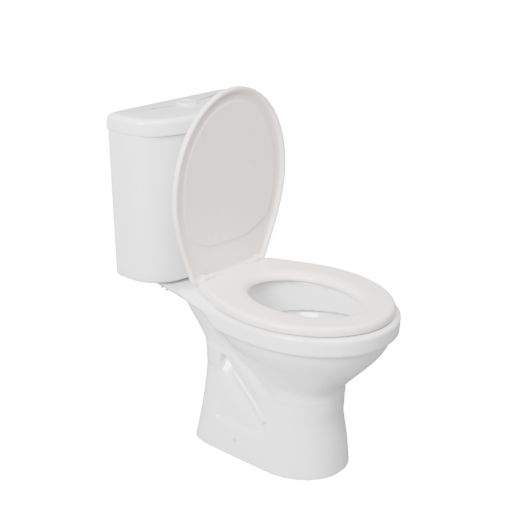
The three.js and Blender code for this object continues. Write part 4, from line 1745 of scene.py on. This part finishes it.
# ---- studio ------------------------------------------------------------------------------------
@dataclass
class Studio:
    """A pale floor, soft light and the camera. Places and sizes are metres here, apart from reach."""

    azimuth: float = -50.667
    elevation: float = 20.616
    roll: float = 2.296
    distance: float = 2.7219
    target: tuple[float, float, float] = (-0.0021, 0.010, 0.4402)
    lens: float = 81.893
    floor_tone: float = 0.35
    floor_glow: float = 16.0
    sky: float = 0.5
    sky_tint: tuple[float, float, float] = (1, 0.90, 0.83)
    backdrop: float = 40.0
    reach: float = 30000.0
    lamps: tuple = (("key", (-2.7, -0.4, 2.1), 1.4, 330), ("overhead", (0.0, -0.9, 3.2), 1.6, 150))

    def camera(self) -> None:
        """Sets the camera from its angles round the target."""
        a, e, r = (math.radians(v) for v in (self.azimuth, self.elevation, self.roll))
        back = Vector((math.sin(a) * math.cos(e), -math.cos(a) * math.cos(e), math.sin(e)))
        level = (-back).cross(Vector((0, 0, 1))).normalized()
        rise = level.cross(-back)
        right = level * math.cos(r) + rise * math.sin(r)
        up = rise * math.cos(r) - level * math.sin(r)
        data = bpy.data.cameras.new("camera")
        data.lens = self.lens
        data.clip_end = 60
        camera = bpy.data.objects.new("camera", data)
        turn = Matrix((right, up, back)).transposed().to_4x4()
        camera.matrix_world = Matrix.Translation(Vector(self.target) + back * self.distance) @ turn
        bpy.context.scene.collection.objects.link(camera)
        bpy.context.scene.camera = camera

    def lamp(self, name: str, place: tuple[float, float, float], size: float, power: float) -> None:
        """Adds a square soft light that faces the middle of the object.

        Args:
            name: the lamp's name.
            place: where it stands.
            size: its side length.
            power: its power in watts.
        """
        data = bpy.data.lights.new(name, "AREA")
        data.shape = "SQUARE"
        data.size = size
        data.energy = power
        lamp = bpy.data.objects.new(name, data)
        lamp.location = place
        aim = Vector(self.target) - Vector(place)
        lamp.rotation_euler = aim.to_track_quat("-Z", "Y").to_euler()
        bpy.context.scene.collection.objects.link(lamp)

    def plain_material(self) -> bpy.types.Material:
        """The floor's matt pale paint, with a faint drift of tone.

        Returns:
            The material.
        """
        material = bpy.data.materials.new("studio_floor")
        material.use_nodes = True
        tree = material.node_tree
        shader = tree.nodes["Principled BSDF"]
        where = tree.nodes.new("ShaderNodeTexCoord").outputs["Object"]
        drift = map_range(tree, noise(tree, where, 1.5, 2), 0.3, 0.7)
        tone, tint = self.floor_tone, self.floor_tone * 0.985
        tree.links.new(Finish.mix(tree, drift, (tone, tone, tone, 1), (tint, tint, tint, 1)),
                       shader.inputs["Base Color"])
        shader.inputs["Roughness"].default_value = 0.9
        shader.inputs["Emission Color"].default_value = (1, 1, 1, 1)
        tree.links.new(self.seen_only(tree, 0.0, self.floor_glow), shader.inputs["Emission Strength"])
        return material

    @staticmethod
    def seen_only(tree: Tree, lighting: float, seen: float) -> Socket:
        """A value that is one number for the camera and another for the light that it casts.

        Args:
            tree: the node tree to add to.
            lighting: the value for every ray but the camera's.
            seen: the value for the camera's rays.

        Returns:
            The socket that holds the value.
        """
        straight = tree.nodes.new("ShaderNodeLightPath").outputs["Is Camera Ray"]
        return map_range(tree, straight, 0, 1, lighting, seen)

    def build(self) -> None:
        """Builds the floor, the sky, the lights and the camera."""
        corners = [(self.reach * x, self.reach * y, 0) for x, y in ((-1, -1), (1, -1), (1, 1), (-1, 1))]
        floor = mesh_object("studio_floor", corners, [(0, 1, 2, 3)])
        floor.data.materials.append(self.plain_material())
        world = bpy.data.worlds.new("studio_sky")
        world.use_nodes = True
        sky = world.node_tree.nodes["Background"]
        sky.inputs["Color"].default_value = (*self.sky_tint, 1)
        world.node_tree.links.new(self.seen_only(world.node_tree, self.sky, self.backdrop),
                                  sky.inputs["Strength"])
        bpy.context.scene.world = world
        for name, place, size, power in self.lamps:
            self.lamp(name, place, size, power)
        self.camera()


def main() -> None:
    """Builds the toilet piece by piece round the frame."""
    logging.basicConfig(level=logging.INFO, format="%(name)s %(message)s")
    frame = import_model()
    Studio().build()
    shop = Workshop()
    shape = SeatShape()
    Pan().build(shop)
    Cistern().build(shop)
    CisternCover().build(shop)
    SeatRing(shape).build(shop)
    SeatLid(shape).build(shop)
    SeatPads().build(shop)
    SeatHinges(shape).build(shop)
    FlushButton().build(shop)
    InnerWorks().build(shop, frame)


if __name__ == "__main__":
    main()
